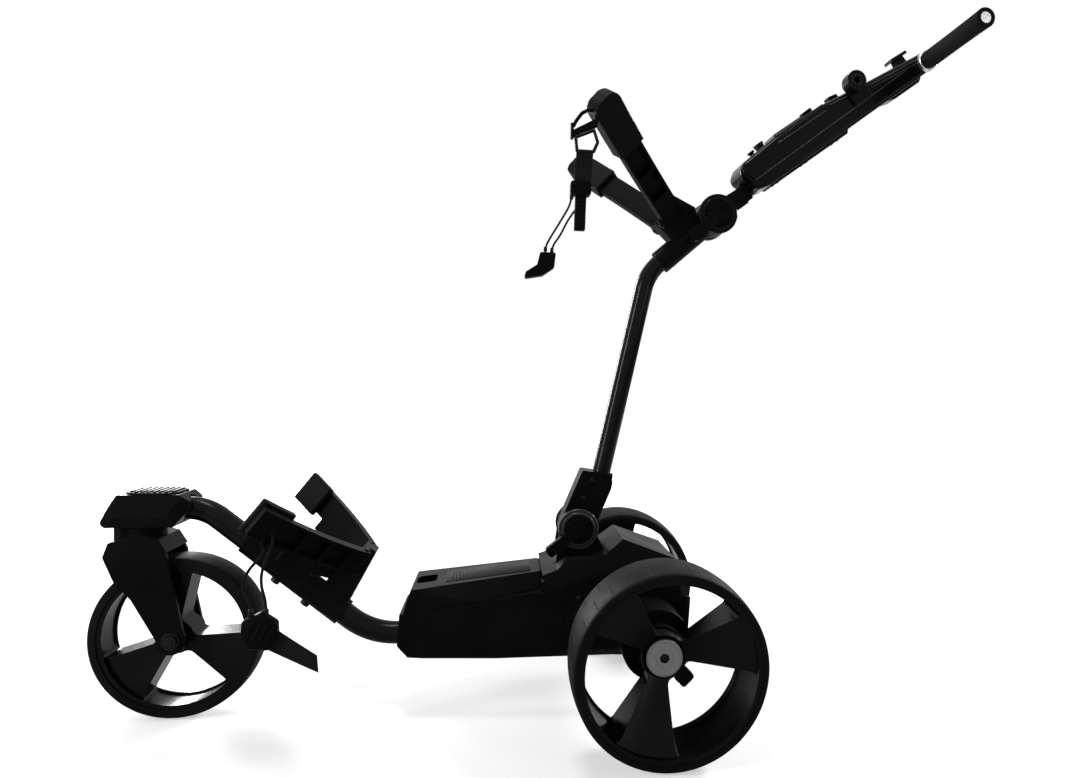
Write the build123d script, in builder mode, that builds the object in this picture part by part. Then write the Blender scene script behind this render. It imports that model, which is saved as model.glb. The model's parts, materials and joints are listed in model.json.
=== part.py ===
from build123d import *
import math
import os

# Electric golf trolley standing on its three wheels, in millimetres with +Z up and the ground at Z = 0.
# The front wheel is towards -X, the handle towards +X, and the trolley's left side is at -Y.
# The origin is on the ground under the middle of the outline.

os.makedirs("parts", exist_ok=True)

# Fits
run_fit = 0.05
seat_fit = 0.03
gap = 0.5

# Wheels
wheelbase = 682.0
overall_width = 550.0
rear_radius = 130.0
rear_width = 100.0
front_radius = 118.0
front_width = 56.0
rear_tyre_depth = 10.0
front_tyre_depth = 14.0
tyre_crown = 3.0
rim_wall = 4.0
rim_lip = 3.0
rim_inset = 2.0
spoke_root = 9.0
spoke_end = 43.0
spoke_draft = 3.0
window_margin = 4.0
window_round = 12.0
hub_recess = 64.0
hub_depth = 24.0
hub_radius = 24.0
rear_spoke_out = 30.0
rear_spoke_in = 42.0
front_spoke_half = 20.0
front_hub_radius = 20.0
axle_radius = 6.0
disc_radius = 25.5
disc_thickness = 4.0
disc_hole = 7.0

# Wheel release plunger
release_radius = 3.5
release_angle = -45.0
release_head = 9.0
release_reach = 46.0
release_travel = 5.0

# Chassis
housing_floor = 90.0
housing_wall = 3.0
housing_half = 84.0
lid_split = -160.0
seam_gap = 0.6
motor_radius = 25.0
gearbox_radius = 26.0
motor_length = 54.0
gearbox_length = 21.0
barrel_radius = 34.0
drum_radius = 50.0
drum_barrel = 23.0
drum_wall = 5.0
bearing_radius = 13.0
bearing_width = 12.0
battery_length = 150.0
battery_width = 90.0
battery_height = 52.0
board_length = 80.0
board_width = 70.0
board_thickness = 6.0
lid_pin_radius = 1.5
lid_knuckle = 3.5
lid_knuckle_half = 28.0
lid_pin_half = 37.0

# Main tube and caster
tube_radius = 17.0
tube_wall = 2.5
tube_head_up = 303.0
tube_foot_up = 110.0
caster_trail = 48.0
head_radius = 24.0
head_low = 282.0
head_high = 322.0
steer_bearing_radius = 18.0
steer_bearing_height = 10.0
kingpin_radius = 9.0
casing_half = 38.0
casing_wall = 2.5
casing_low = 279.5
casing_top = 326.0
pad_top = 330.5
fork_leg = 6.5
fork_gap = 5.0
crown_low = 245.0
neck_radius = 27.0
neck_front = 39.0
front_axle_radius = 5.0
front_nut = 9.0
front_nut_depth = 6.0

# Mast
lower_hinge_ahead = 102.0
lower_hinge_up = 272.0
upper_hinge_back = 109.0
upper_hinge_up = 766.0
mast_tilt = 77.9
mast_radius = 14.3
mast_wall = 2.0
mast_offset = 28.0
mast_bend_up = 673.0
knuckle_half = 23.5
knuckle_radius = 29.0
ear_thickness = 12.0
ear_radius = 31.0
pivot_radius = 5.0
sleeve_wall = 4.7
lever_disc = 22.0
lever_thickness = 10.0
lever_width = 17.0
lever_length = 58.0

# Bag cradles, drawn square to the bag's axis
lower_cradle_tilt = 52.0
upper_cradle_tilt = 47.0
arm_hinge = 26.0
arm_pin = 3.0
arm_knuckle = 8.0
arm_knuckle_half = 16.0
arm_face = 5.0
arm_back = 9.0
arm_plate = 4.0
arm_flange = 4.0
lower_arm_width = 40.0
lower_arm_out = 157.0
lower_arm_rise = 139.0
lower_arm_sag = 10.0
lower_arm_wing = 18.0
upper_arm_width = 37.0
upper_arm_out = 171.0
upper_arm_rise = 172.0
upper_arm_sag = -4.0
post_half = 17.0
pad_thickness = 12.0
pad_lip = 6.0
cap_wall = 4.0
cap_round = 16.0
rest_sleeve_wall = 3.5
rest_sleeve_length = 178.0

# Handle
handle_tilt = 37.6
handle_length = 434.0
handle_radius = 9.0
handle_start = 40.0
tbar_radius = 11.0
tbar_half = 204.0
grip_radius = 14.4
grip_start = 47.0
ring_start = 39.0
ring_radius = 13.4
end_disc_radius = 12.5
end_disc_thickness = 3.0
console_half = 37.0
console_split = 8.0
console_wall = 2.5
console_edge = 10.0
button_radius = 6.0
button_stem = 4.0
button_rise = 6.0
button_travel = 2.0
dial_radius = 11.0
dial_rise = 7.0
barrel_bore = 5.0
mount_barrel_radius = 16.0
mount_barrel_length = 23.0

# Straps
cord_radius = 1.4
lower_cord_radius = 2.0
strap_out = 176.0
webbing_thickness = 2.4
buckle_out = 150.0
peg_radius = 4.0
peg_length = 18.0
cord_pegs = ((517, 288), (528, 274))

# Frame positions worked out from the sizes above
handle_reach = upper_hinge_back + handle_length * math.cos(math.radians(handle_tilt)) + grip_radius
axle_x = (wheelbase + front_radius - handle_reach) / 2
front_axle_x = axle_x - wheelbase
stem_x = front_axle_x - caster_trail
rear_mid = (overall_width - rear_width) / 2
hub_face = overall_width / 2 - hub_recess
hub_back = hub_face - hub_depth
barrel_end = hub_back - 4 * gap
drum_end = barrel_end - drum_barrel
lower_hinge = (axle_x - lower_hinge_ahead, lower_hinge_up)
upper_hinge = (axle_x + upper_hinge_back, upper_hinge_up)
leg_in = front_width / 2 + fork_gap
leg_out = leg_in + fork_leg
ear_in = knuckle_half + gap
ear_out = ear_in + ear_thickness
FAR = 1000.0


def save(piece, name):
    """Labels a finished piece and writes it."""
    piece.part.label = name
    export_step(piece.part, f"parts/{name}.step")


def save_pair(left, name):
    """Writes a left-hand piece and its mirror image."""
    with BuildPart() as right:
        mirror(left.part, about=Plane.XZ)
    save(left, f"{name}_left")
    save(right, f"{name}_right")


def save_both(left, name):
    """Writes a left-hand piece and its mirror image as one node."""
    with BuildPart() as both:
        add(left.part)
        mirror(left.part, about=Plane.XZ)
    save(both, name)


def slab(plane, points, depth, corner=0.0, both=True, mode=Mode.ADD):
    """Adds or cuts a closed outline drawn out square to its plane."""
    with BuildSketch(plane) as shape:
        with BuildLine():
            Polyline(*points, close=True)
        make_face()
        if corner:
            fillet(shape.vertices(), corner)
    extrude(shape.sketch, amount=depth, both=both, mode=mode)


def rod(plane, place, radius, depth, both=False, mode=Mode.ADD):
    """Adds or cuts a round bar square to a plane."""
    with BuildSketch(plane) as shape:
        with Locations(place):
            Circle(radius)
    extrude(shape.sketch, amount=depth, both=both, mode=mode)


def cross_bar(place, radius, start, end, mode=Mode.ADD):
    """Adds or cuts a round bar along Y at a place in X and Z, between two distances to the left."""
    rod(Plane.XZ.offset(start), place, radius, end - start, mode=mode)


def shaped(views, inset=0.0):
    """A body bounded by its outlines seen along Y, Z and X, each drawn in by the inset."""
    with BuildPart() as body:
        for plane, points, corner in views:
            with BuildSketch(plane) as view:
                with BuildLine():
                    Polyline(*points, close=True)
                make_face()
                if corner:
                    fillet(view.vertices(), corner)
                if inset:
                    offset(amount=-inset, kind=Kind.INTERSECTION)
            extrude(view.sketch, amount=FAR, both=True, mode=Mode.INTERSECT if body.part else Mode.ADD)
    return body


def both_sides(points):
    """Closes a plan or front outline by mirroring its points across the middle."""
    return points + [(x, -y) for x, y in reversed(points)]


def from_axle(points):
    """Moves side-view points, given from the rear axle, into the part's frame."""
    return [(axle_x + x, z) for x, z in points]


# Rear wheels
rear_section = Plane((axle_x, -rear_mid, rear_radius), x_dir=(0, -1, 0), z_dir=(-1, 0, 0))
rear_face = Plane((axle_x, -rear_mid, rear_radius), x_dir=(1, 0, 0), z_dir=(0, -1, 0))
rear_axis = Axis((axle_x, 0, rear_radius), (0, -1, 0))
front_section = Plane((front_axle_x, 0, front_radius), x_dir=(0, -1, 0), z_dir=(-1, 0, 0))
front_face = Plane((front_axle_x, 0, front_radius), x_dir=(1, 0, 0), z_dir=(0, -1, 0))
front_axis = Axis((front_axle_x, 0, front_radius), (0, -1, 0))


def tyre(section, axis, radius, width, depth):
    """A tyre with a crowned tread and rounded shoulders."""
    edge = width / 2
    with BuildPart() as part:
        with BuildSketch(section) as outline:
            with BuildLine():
                Polyline(
                    (edge, radius - tyre_crown),
                    (edge, radius - depth),
                    (-edge, radius - depth),
                    (-edge, radius - tyre_crown),
                )
                ThreePointArc((-edge, radius - tyre_crown), (0, radius), (edge, radius - tyre_crown))
            make_face()
            fillet(outline.vertices().sort_by(Axis.Y)[-2:], tyre_crown)
        revolve(axis=axis)
    return part


def rim(section, face, axis, outer, width, hub, bore, spokes, first_spoke):
    """A rim with flared spokes; hub is its outer and inner face, its radius and the spokes' rim faces."""
    hub_out, hub_in, boss, spoke_out, spoke_in = hub
    inner = outer - rim_wall
    edge = width / 2 - rim_inset
    deep = max(hub_out, spoke_out) - min(hub_in, spoke_in)
    window = inner + math.tan(math.radians(spoke_draft)) * deep
    with BuildPart() as part:
        with BuildSketch(section):
            with BuildLine():
                Polyline(
                    (-edge, outer),
                    (edge, outer),
                    (edge, inner - rim_lip),
                    (edge - rim_lip, inner - rim_lip),
                    (edge - 2 * rim_lip, inner),
                    (-edge + 2 * rim_lip, inner),
                    (-edge + rim_lip, inner - rim_lip),
                    (-edge, inner - rim_lip),
                    close=True,
                )
            make_face()
            with BuildLine():
                Polyline((hub_in, bore), (hub_out, bore), (hub_out, boss), (hub_in, boss), close=True)
            make_face()
            with BuildLine():
                Polyline(
                    (hub_out - 3, boss - 1),
                    (spoke_out, outer - 1),
                    (spoke_in, outer - 1),
                    (hub_in + 1, boss - 1),
                    close=True,
                )
            make_face()
        revolve(axis=axis)
    # The windows narrow inwards, and reach out to the barrel's inside
    with BuildPart() as cutter:
        with BuildSketch(face.offset(max(hub_out, spoke_out))) as windows:
            Circle(window)
            Circle(boss + window_margin, mode=Mode.SUBTRACT)
            with PolarLocations(0, spokes, start_angle=first_spoke):
                Polygon(
                    (0, -spoke_root),
                    (boss, -spoke_root),
                    (window + 1, -spoke_end),
                    (window + 1, spoke_end),
                    (boss, spoke_root),
                    (0, spoke_root),
                    mode=Mode.SUBTRACT,
                )
            fillet(windows.vertices(), window_round)
        extrude(amount=-deep, taper=spoke_draft)
        with BuildSketch(face):
            Circle(inner)
        extrude(amount=width, both=True, mode=Mode.INTERSECT)
    with BuildPart() as cut_rim:
        add(part.part)
        add(cutter.part, mode=Mode.SUBTRACT)
    return cut_rim


rear_tyre = tyre(rear_section, rear_axis, rear_radius, rear_width, rear_tyre_depth)
save_pair(rear_tyre, "rear_tyre")

# The plunger slides along a line square to the axle, through the hub's edge
release_x = math.cos(math.radians(release_angle))
release_z = math.sin(math.radians(release_angle))
release_y = (hub_face + hub_back) / 2


def release_plane(distance):
    """A plane square to the plunger at a distance from the axle."""
    place = (axle_x + release_x * distance, -release_y, rear_radius + release_z * distance)
    return Plane(place, x_dir=(0, 1, 0), z_dir=(release_x, 0, release_z))


rear_hub = (hub_face - rear_mid, hub_back - rear_mid, hub_radius, rear_spoke_out, -rear_spoke_in)
release_seat = axle_radius + release_travel


def bored_rim(first_spoke):
    """A left rear rim with the plunger's bore and the pocket of its head."""
    plain = rim(rear_section, rear_face, rear_axis, rear_radius - rear_tyre_depth - seat_fit, rear_width,
                rear_hub, axle_radius + seat_fit, 3, first_spoke)
    with BuildPart() as bored:
        add(plain.part)
        rod(release_plane(release_seat), (0, 0), release_radius + run_fit, hub_radius, mode=Mode.SUBTRACT)
        rod(release_plane(hub_radius - gap), (0, 0), release_head + gap,
            release_reach - hub_radius + gap + 2 * release_travel, mode=Mode.SUBTRACT)
    return bored


# The two wheels stand at different turns
rear_rim_left = bored_rim(15.0)
save(rear_rim_left, "rear_rim_left")
turned_rim = bored_rim(100.0)
with BuildPart() as rear_rim_right:
    mirror(turned_rim.part, about=Plane.XZ)
save(rear_rim_right, "rear_rim_right")

with BuildPart() as wheel_release:
    rod(release_plane(release_seat), (0, 0), release_radius, release_reach - release_seat)
    rod(release_plane(hub_radius + gap), (0, 0), release_head - 2, release_travel)
    rod(release_plane(release_reach - 2 * release_travel), (0, 0), release_head, 2 * release_travel)
save_pair(wheel_release, "wheel_release")

with BuildPart() as hub_disc:
    cross_bar((axle_x, rear_radius), disc_radius, hub_face, hub_face + disc_thickness)
    cross_bar((axle_x, rear_radius), disc_hole, hub_face, hub_face + disc_thickness, Mode.SUBTRACT)
    chamfer(hub_disc.edges().group_by(Axis.Y)[0], 0.8)
save_pair(hub_disc, "hub_disc")

gearbox_out = housing_half - housing_wall
with BuildPart() as drive_axle:
    cross_bar((axle_x, rear_radius), axle_radius, gearbox_out - gearbox_length / 2, hub_face)
save_pair(drive_axle, "drive_axle")

with BuildPart() as axle_housing:
    with BuildSketch(Plane((axle_x, 0, rear_radius), x_dir=(0, -1, 0), z_dir=(-1, 0, 0))):
        with BuildLine():
            Polyline(
                (housing_half, drum_radius - drum_wall),
                (housing_half, drum_radius),
                (drum_end, drum_radius),
                (drum_end + drum_wall / 2, barrel_radius),
                (barrel_end, barrel_radius),
                (barrel_end, bearing_radius + seat_fit),
                (barrel_end - bearing_width, bearing_radius + seat_fit),
                (barrel_end - bearing_width, axle_radius + gap),
                (drum_end - drum_wall, axle_radius + gap),
                (drum_end - drum_wall, drum_radius - drum_wall),
                close=True,
            )
        make_face()
    revolve(axis=rear_axis)
save_both(axle_housing, "axle_housings")

with BuildPart() as gear_motor:
    cross_bar((axle_x, rear_radius), gearbox_radius, gearbox_out - gearbox_length, gearbox_out)
    cross_bar((axle_x, rear_radius), motor_radius, gearbox_out - gearbox_length - motor_length,
              gearbox_out - gearbox_length)
    cross_bar((axle_x, rear_radius), axle_radius + run_fit, gearbox_out - gearbox_length / 2, gearbox_out,
              Mode.SUBTRACT)
save_both(gear_motor, "gear_motors")

# Caster: fork, pins, wheel
front_tyre = tyre(front_section, front_axis, front_radius, front_width, front_tyre_depth)
save(front_tyre, "front_tyre")

front_bearing = 10.0
front_bearing_width = 8.0
front_hub = (front_width / 2 - 6, 6 - front_width / 2, front_hub_radius, front_spoke_half, -front_spoke_half)
front_rim = rim(front_section, front_face, front_axis, front_radius - front_tyre_depth - seat_fit,
                front_width, front_hub, front_bearing + seat_fit, 3, 100.0)
save(front_rim, "front_rim")

with BuildPart() as front_bearings:
    for start in (front_hub[0] - front_bearing_width, front_hub[1]):
        cross_bar((front_axle_x, front_radius), front_bearing, start, start + front_bearing_width)
    cross_bar((front_axle_x, front_radius), front_axle_radius + run_fit, -front_width, front_width,
              Mode.SUBTRACT)
save(front_bearings, "front_bearings")

crown_outline = [
    (stem_x - 36, crown_low + 14),
    (stem_x - 41, crown_low),
    (stem_x + 42, crown_low),
    (stem_x + 30, crown_low + 19),
    (stem_x + 5, crown_low + 26),
]
leg_outline = [
    (stem_x - 36, crown_low + 14),
    (stem_x - 43, crown_low - 6),
    (stem_x - 28, crown_low - 41),
    (stem_x - 5, crown_low - 67),
    (front_axle_x - 19, front_radius),
    (front_axle_x + 19, front_radius),
    (stem_x + 48, crown_low - 39),
    (stem_x + 42, crown_low - 8),
    (stem_x + 30, crown_low + 19),
]
with BuildPart() as fork:
    slab(Plane.XZ, crown_outline, leg_out)
    for start in (leg_in, -leg_out):
        slab(Plane.XZ.offset(start), leg_outline, fork_leg, 5, both=False)
        cross_bar((front_axle_x, front_radius), 20, start, start + fork_leg)
    neck_height = casing_low - 3 * gap - crown_low
    rod(Plane.XY.offset(crown_low), (stem_x, 0), neck_radius, neck_height)
    neck_plan = both_sides([(stem_x - neck_front, 14), (stem_x - neck_radius, 22), (stem_x, 22)])
    slab(Plane.XY.offset(crown_low), neck_plan, neck_height, both=False)
    rod(Plane.XY.offset(crown_low), (stem_x, 0), kingpin_radius + seat_fit, FAR, mode=Mode.SUBTRACT)
    cross_bar((front_axle_x, front_radius), front_axle_radius + seat_fit, -leg_out, leg_out, Mode.SUBTRACT)
save(fork, "fork")

with BuildPart() as caster_pins:
    rod(Plane.XY.offset(crown_low), (stem_x, 0), kingpin_radius, head_high - crown_low)
    cross_bar((front_axle_x, front_radius), front_axle_radius, -leg_out, leg_out)
    for start in (leg_out, -leg_out - front_nut_depth):
        cross_bar((front_axle_x, front_radius), front_nut, start, start + front_nut_depth)
save(caster_pins, "caster_pins")

# Main tube with its steering head
tube_path = [
    (stem_x + head_radius - 4, tube_head_up),
    (axle_x - 650, tube_head_up),
    (axle_x - 413, tube_foot_up),
    (axle_x - 338, tube_foot_up),
]
tube_bends = [70.0, 110.0]
with BuildPart() as main_tube:
    with BuildLine(Plane.XZ) as tube_line:
        FilletPolyline(*tube_path, radius=tube_bends)
    with BuildSketch(Plane(tube_line.line @ 0, x_dir=(0, 1, 0), z_dir=tube_line.line % 0)):
        Circle(tube_radius)
    sweep()
    with BuildSketch(Plane(tube_line.line @ 0, x_dir=(0, 1, 0), z_dir=tube_line.line % 0)):
        Circle(tube_radius - tube_wall)
    sweep(path=tube_line.line, mode=Mode.SUBTRACT)
    rod(Plane.XY.offset(head_low), (stem_x, 0), head_radius, head_high - head_low)
    rod(Plane.XY.offset(head_low), (stem_x, 0), kingpin_radius + 3, FAR, mode=Mode.SUBTRACT)
    for low in (head_low, head_high - steer_bearing_height):
        rod(Plane.XY.offset(low), (stem_x, 0), steer_bearing_radius + seat_fit, steer_bearing_height,
            mode=Mode.SUBTRACT)
save(main_tube, "main_tube")

with BuildPart() as chassis_bearings:
    for low in (head_low, head_high - steer_bearing_height):
        rod(Plane.XY.offset(low), (stem_x, 0), steer_bearing_radius, steer_bearing_height)
    rod(Plane.XY, (stem_x, 0), kingpin_radius + run_fit, FAR, mode=Mode.SUBTRACT)
    for end in (barrel_end, -barrel_end + bearing_width):
        cross_bar((axle_x, rear_radius), bearing_radius, end - bearing_width, end)
    cross_bar((axle_x, rear_radius), axle_radius + run_fit, -FAR, FAR, Mode.SUBTRACT)
save(chassis_bearings, "chassis_bearings")

casing_side = [
    (stem_x - 29, casing_top),
    (stem_x - 51, casing_low + 6),
    (stem_x - 44, casing_low),
    (stem_x + 47, casing_low),
    (stem_x + 66, casing_low + 24),
    (stem_x + 66, casing_top - 9),
    (stem_x + 54, casing_top),
]
casing_plan = both_sides([
    (stem_x - 53, 31),
    (stem_x - 30, casing_half),
    (stem_x + 40, casing_half),
    (stem_x + 68, casing_half - 10),
])
casing_front = [
    (-casing_half + 5, casing_low - 1),
    (-casing_half, casing_low + 16),
    (-casing_half + 7, casing_top + 1),
    (casing_half - 7, casing_top + 1),
    (casing_half, casing_low + 16),
    (casing_half - 5, casing_low - 1),
]
casing_views = (
    (Plane.XZ, casing_side, 4),
    (Plane.XY, casing_plan, 8),
    (Plane.YZ, casing_front, 0),
)
casing_outer = shaped(casing_views)
casing_inner = shaped(casing_views, casing_wall)
with BuildPart() as head_casing:
    add(casing_outer.part)
    add(casing_inner.part, mode=Mode.SUBTRACT)
    rod(Plane.XY, (stem_x, 0), head_radius + seat_fit, head_low, mode=Mode.SUBTRACT)
    rod(Plane.YZ.offset(stem_x), (0, tube_head_up), tube_radius + 4 * gap, FAR, mode=Mode.SUBTRACT)
save(head_casing, "head_casing")

with BuildPart() as head_top_pad:
    pad_outline = both_sides([(stem_x - 22, 18), (stem_x - 8, 30), (stem_x + 38, 30), (stem_x + 50, 20)])
    slab(Plane.XY.offset(casing_top), pad_outline, pad_top - casing_top, 6, both=False)
    chamfer(head_top_pad.faces().sort_by(Axis.Z)[-1].edges(), 2.5)
save(head_top_pad, "head_top_pad")

# Chassis shells: outlines from the rear axle
seam = [(-365, 152.5), (lid_split, 188), (-66, 213), (66, 175)]
seam_rise = (seam[2][1] - seam[1][1]) / (seam[2][0] - seam[1][0])
lower_side = from_axle([(36, housing_floor), (-352, housing_floor), (-368, 106)] + seam + [(62, 118)])
lower_plan = both_sides([(axle_x - 372, 54), (axle_x - 330, 64), (axle_x - 130, housing_half),
                         (axle_x + 68, housing_half)])
lower_front = [
    (-housing_half + 10, housing_floor - 1),
    (-housing_half, housing_floor + 12),
    (-housing_half, FAR / 2),
    (housing_half, FAR / 2),
    (housing_half, housing_floor + 12),
    (housing_half - 10, housing_floor - 1),
]
lower_views = ((Plane.XZ, lower_side, 0), (Plane.XY, lower_plan, 10), (Plane.YZ, lower_front, 0))
lower_outer = shaped(lower_views)
lower_inner = shaped(lower_views, housing_wall)
with BuildPart() as lower_housing:
    add(lower_outer.part)
    add(lower_inner.part, mode=Mode.SUBTRACT)
    # The top is left open under the lid and the rear cover
    opening = from_axle([(-328, 152), (lid_split, 184), (-66, 209), (60, 173), (60, 240), (-328, 240)])
    slab(Plane.XZ, opening, housing_half - housing_wall - 23, mode=Mode.SUBTRACT)
    cross_bar((axle_x, rear_radius), axle_radius + 2, -FAR, FAR, Mode.SUBTRACT)
    rod(Plane.YZ.offset(axle_x - 400), (0, tube_foot_up), tube_radius + seat_fit, 60, mode=Mode.SUBTRACT)
save(lower_housing, "lower_housing")

floor_top = housing_floor + housing_wall
with BuildPart() as battery_pack:
    with BuildSketch(Plane.XY.offset(floor_top)):
        with Locations((axle_x - 250, 0)):
            RectangleRounded(battery_length, battery_width, 6)
    extrude(amount=battery_height)
save(battery_pack, "battery_pack")

with BuildPart() as control_board:
    with BuildSketch(Plane.XY.offset(floor_top)):
        with Locations((axle_x - 110, 0)):
            Rectangle(board_length, board_width)
    extrude(amount=board_thickness)
save(control_board, "control_board")

# Rear cover with the ears of the mast hinge
cover_side = from_axle([
    (lid_split + seam_gap, seam[1][1] + seam_gap * seam_rise),
    seam[2],
    seam[3],
    (66, 204),
    (44, 232),
    (-36, 261),
    (-62, 240),
    (-80, 233),
    (-122, 233),
    (-136, 219),
    (lid_split + seam_gap, 211),
])
cover_plan = both_sides([(axle_x - 170, 77), (axle_x - 130, housing_half), (axle_x + 50, housing_half),
                         (axle_x + 66, housing_half - 14)])
cover_front = [(-housing_half, 0), (-housing_half, 192), (-62, 262), (62, 262), (housing_half, 192),
               (housing_half, 0)]
cover_views = ((Plane.XZ, cover_side, 0), (Plane.XY, cover_plan, 0), (Plane.YZ, cover_front, 6))
cover_outer = shaped(cover_views)
cover_inner = shaped(cover_views, housing_wall)
lid_hinge = (axle_x + lid_split, 207.0)
ear_outline = from_axle([(-136, 219), (-131, 262), (-73, 262), (-62, 240), (-66, 225), (-110, 214)])
with BuildPart() as rear_cover:
    add(cover_outer.part)
    add(cover_inner.part, mode=Mode.SUBTRACT)
    for start in (ear_in, -ear_out):
        slab(Plane.XZ.offset(start), ear_outline, ear_thickness, both=False)
        cross_bar(lower_hinge, ear_radius, start, start + ear_thickness)
    cross_bar(lower_hinge, pivot_radius + seat_fit, -FAR, FAR, Mode.SUBTRACT)
    # Room for the lid's rear edge to swing in
    cross_bar(lid_hinge, lid_knuckle + 3 * gap, -housing_half, housing_half, Mode.SUBTRACT)
    for start in (lid_knuckle_half + gap, -lid_pin_half):
        end = start + lid_pin_half - lid_knuckle_half - gap
        cross_bar(lid_hinge, lid_knuckle, start, end)
        slab(Plane.XZ.offset(start), [(lid_hinge[0], lid_hinge[1] - 3 * lid_knuckle),
                                      (lid_hinge[0] + 8, lid_hinge[1] - 3 * lid_knuckle),
                                      (lid_hinge[0] + 8, lid_hinge[1]),
                                      lid_hinge], end - start, both=False)
    cross_bar(lid_hinge, lid_pin_radius + seat_fit, -FAR, FAR, Mode.SUBTRACT)
save(rear_cover, "rear_cover")

lid_side = from_axle([(-360, 153 + seam_gap), (lid_split - seam_gap, seam[1][1] + seam_gap),
                      (lid_split - seam_gap, 211), (-349, 189)])
lid_plan = both_sides([(axle_x - 362, 55), (axle_x - 330, 63), (axle_x - 158, 79)])
lid_front = [(-92, 140), (-45, 212), (45, 212), (92, 140)]
lid_views = ((Plane.XZ, lid_side, 0), (Plane.XY, lid_plan, 10), (Plane.YZ, lid_front, 4))
lid_outer = shaped(lid_views)
lid_inner = shaped(lid_views, housing_wall)
lid_slot_x = axle_x - 330
with BuildPart() as battery_lid:
    add(lid_outer.part)
    add(lid_inner.part, mode=Mode.SUBTRACT)
    lid_opening = from_axle([(-350, 150), (lid_split - 4, 182), (lid_split - 4, 196), (-350, 162)])
    slab(Plane.XZ, lid_opening, 52, mode=Mode.SUBTRACT)
    for start in (lid_knuckle_half, -lid_pin_half - gap):
        cross_bar(lid_hinge, lid_knuckle + gap, start, start + lid_pin_half - lid_knuckle_half + gap,
                  Mode.SUBTRACT)
    cross_bar(lid_hinge, lid_knuckle, -lid_knuckle_half, lid_knuckle_half)
    cross_bar(lid_hinge, lid_pin_radius + run_fit, -FAR, FAR, Mode.SUBTRACT)
    with BuildSketch(Plane.XY.offset(172)) as finger_slot:
        with Locations((lid_slot_x, 0)):
            RectangleRounded(30, 44, 8)
    extrude(finger_slot.sketch, amount=30, mode=Mode.SUBTRACT)
save(battery_lid, "battery_lid")

with BuildPart() as chassis_pins:
    cross_bar(lid_hinge, lid_pin_radius, -lid_pin_half, lid_pin_half)
    cross_bar(lower_hinge, pivot_radius, -ear_out, ear_out + lever_thickness)
save(chassis_pins, "chassis_pins")


def clamp_lever(hinge, angle, start):
    """A clamp lever: a stepped disc on the pivot with a flat bar out to one side."""
    with BuildPart() as lever:
        cross_bar(hinge, lever_disc, start, start + lever_thickness / 2)
        cross_bar(hinge, lever_disc - 4, start + lever_thickness / 2, start + 0.8 * lever_thickness)
        out = (math.cos(angle), 0, math.sin(angle))
        plane = Plane((hinge[0], -start, hinge[1]), x_dir=out, z_dir=(0, -1, 0))
        with BuildSketch(plane) as bar:
            with Locations((lever_length / 2 - 4, 0)):
                RectangleRounded(lever_length + 10, lever_width, 5)
        extrude(bar.sketch, amount=lever_thickness + 2)
        cross_bar(hinge, pivot_radius + run_fit, start, start + lever_thickness, Mode.SUBTRACT)
    return lever


lever_start = ear_out + gap
save(clamp_lever(lower_hinge, math.radians(217), lever_start), "lower_clamp_lever")
save(clamp_lever(upper_hinge, math.radians(225), lever_start), "upper_clamp_lever")

# Mast: socket, bent tube and top joint
mast_run = math.radians(mast_tilt)
mast_foot = (lower_hinge[0] + mast_offset, lower_hinge[1] + knuckle_radius + 8)
mast_bend = (mast_foot[0] + (mast_bend_up - mast_foot[1]) / math.tan(mast_run), mast_bend_up)
sleeve_run = math.atan2(upper_hinge[1] - mast_bend[1], upper_hinge[0] - mast_bend[0])
sleeve_length = math.dist(mast_bend, upper_hinge)
mast_end = (mast_bend[0] + (sleeve_length - knuckle_radius - 6) * math.cos(sleeve_run),
            mast_bend[1] + (sleeve_length - knuckle_radius - 6) * math.sin(sleeve_run))
mast_bend_radius = 75.0
with BuildPart() as mast_tube:
    with BuildLine(Plane.XZ) as mast_line:
        FilletPolyline(mast_foot, mast_bend, mast_end, radius=mast_bend_radius)
    with BuildSketch(Plane(mast_line.line @ 0, x_dir=(0, 1, 0), z_dir=mast_line.line % 0)):
        Circle(mast_radius)
    sweep()
    with BuildSketch(Plane(mast_line.line @ 0, x_dir=(0, 1, 0), z_dir=mast_line.line % 0)):
        Circle(mast_radius - mast_wall)
    sweep(path=mast_line.line, mode=Mode.SUBTRACT)
save(mast_tube, "mast_tube")

mast_axis_plane = Plane((mast_foot[0], 0, mast_foot[1]), x_dir=(0, 1, 0),
                        z_dir=(math.cos(mast_run), 0, math.sin(mast_run)))
socket_outline = from_axle([(-128, 284), (-96, 361), (-49, 354), (-50, 333), (-72, 280), (-102, 262)])
with BuildPart() as mast_socket:
    slab(Plane.XZ, socket_outline, knuckle_half, 4)
    cross_bar(lower_hinge, knuckle_radius, -knuckle_half, knuckle_half)
    rod(mast_axis_plane, (0, 0), mast_radius + seat_fit, FAR, mode=Mode.SUBTRACT)
    cross_bar(lower_hinge, pivot_radius + run_fit, -FAR, FAR, Mode.SUBTRACT)
save(mast_socket, "mast_socket")

# Bag cradle frames: Y across, the bag's side up, and the bag's axis square to the sketch
lower_root = (axle_x - 428, 226.0, math.radians(lower_cradle_tilt))
upper_root = (axle_x + 35, 762.0, math.radians(upper_cradle_tilt))


def bag_plane(root, along=0.0):
    """A plane square to the bag's axis through a cradle's root, which is its X, its Z and its tilt."""
    x, z, tilt = root
    run, rise = math.cos(tilt), math.sin(tilt)
    return Plane((x + run * along, 0, z + rise * along), x_dir=(0, 1, 0), z_dir=(run, 0, rise))


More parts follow.
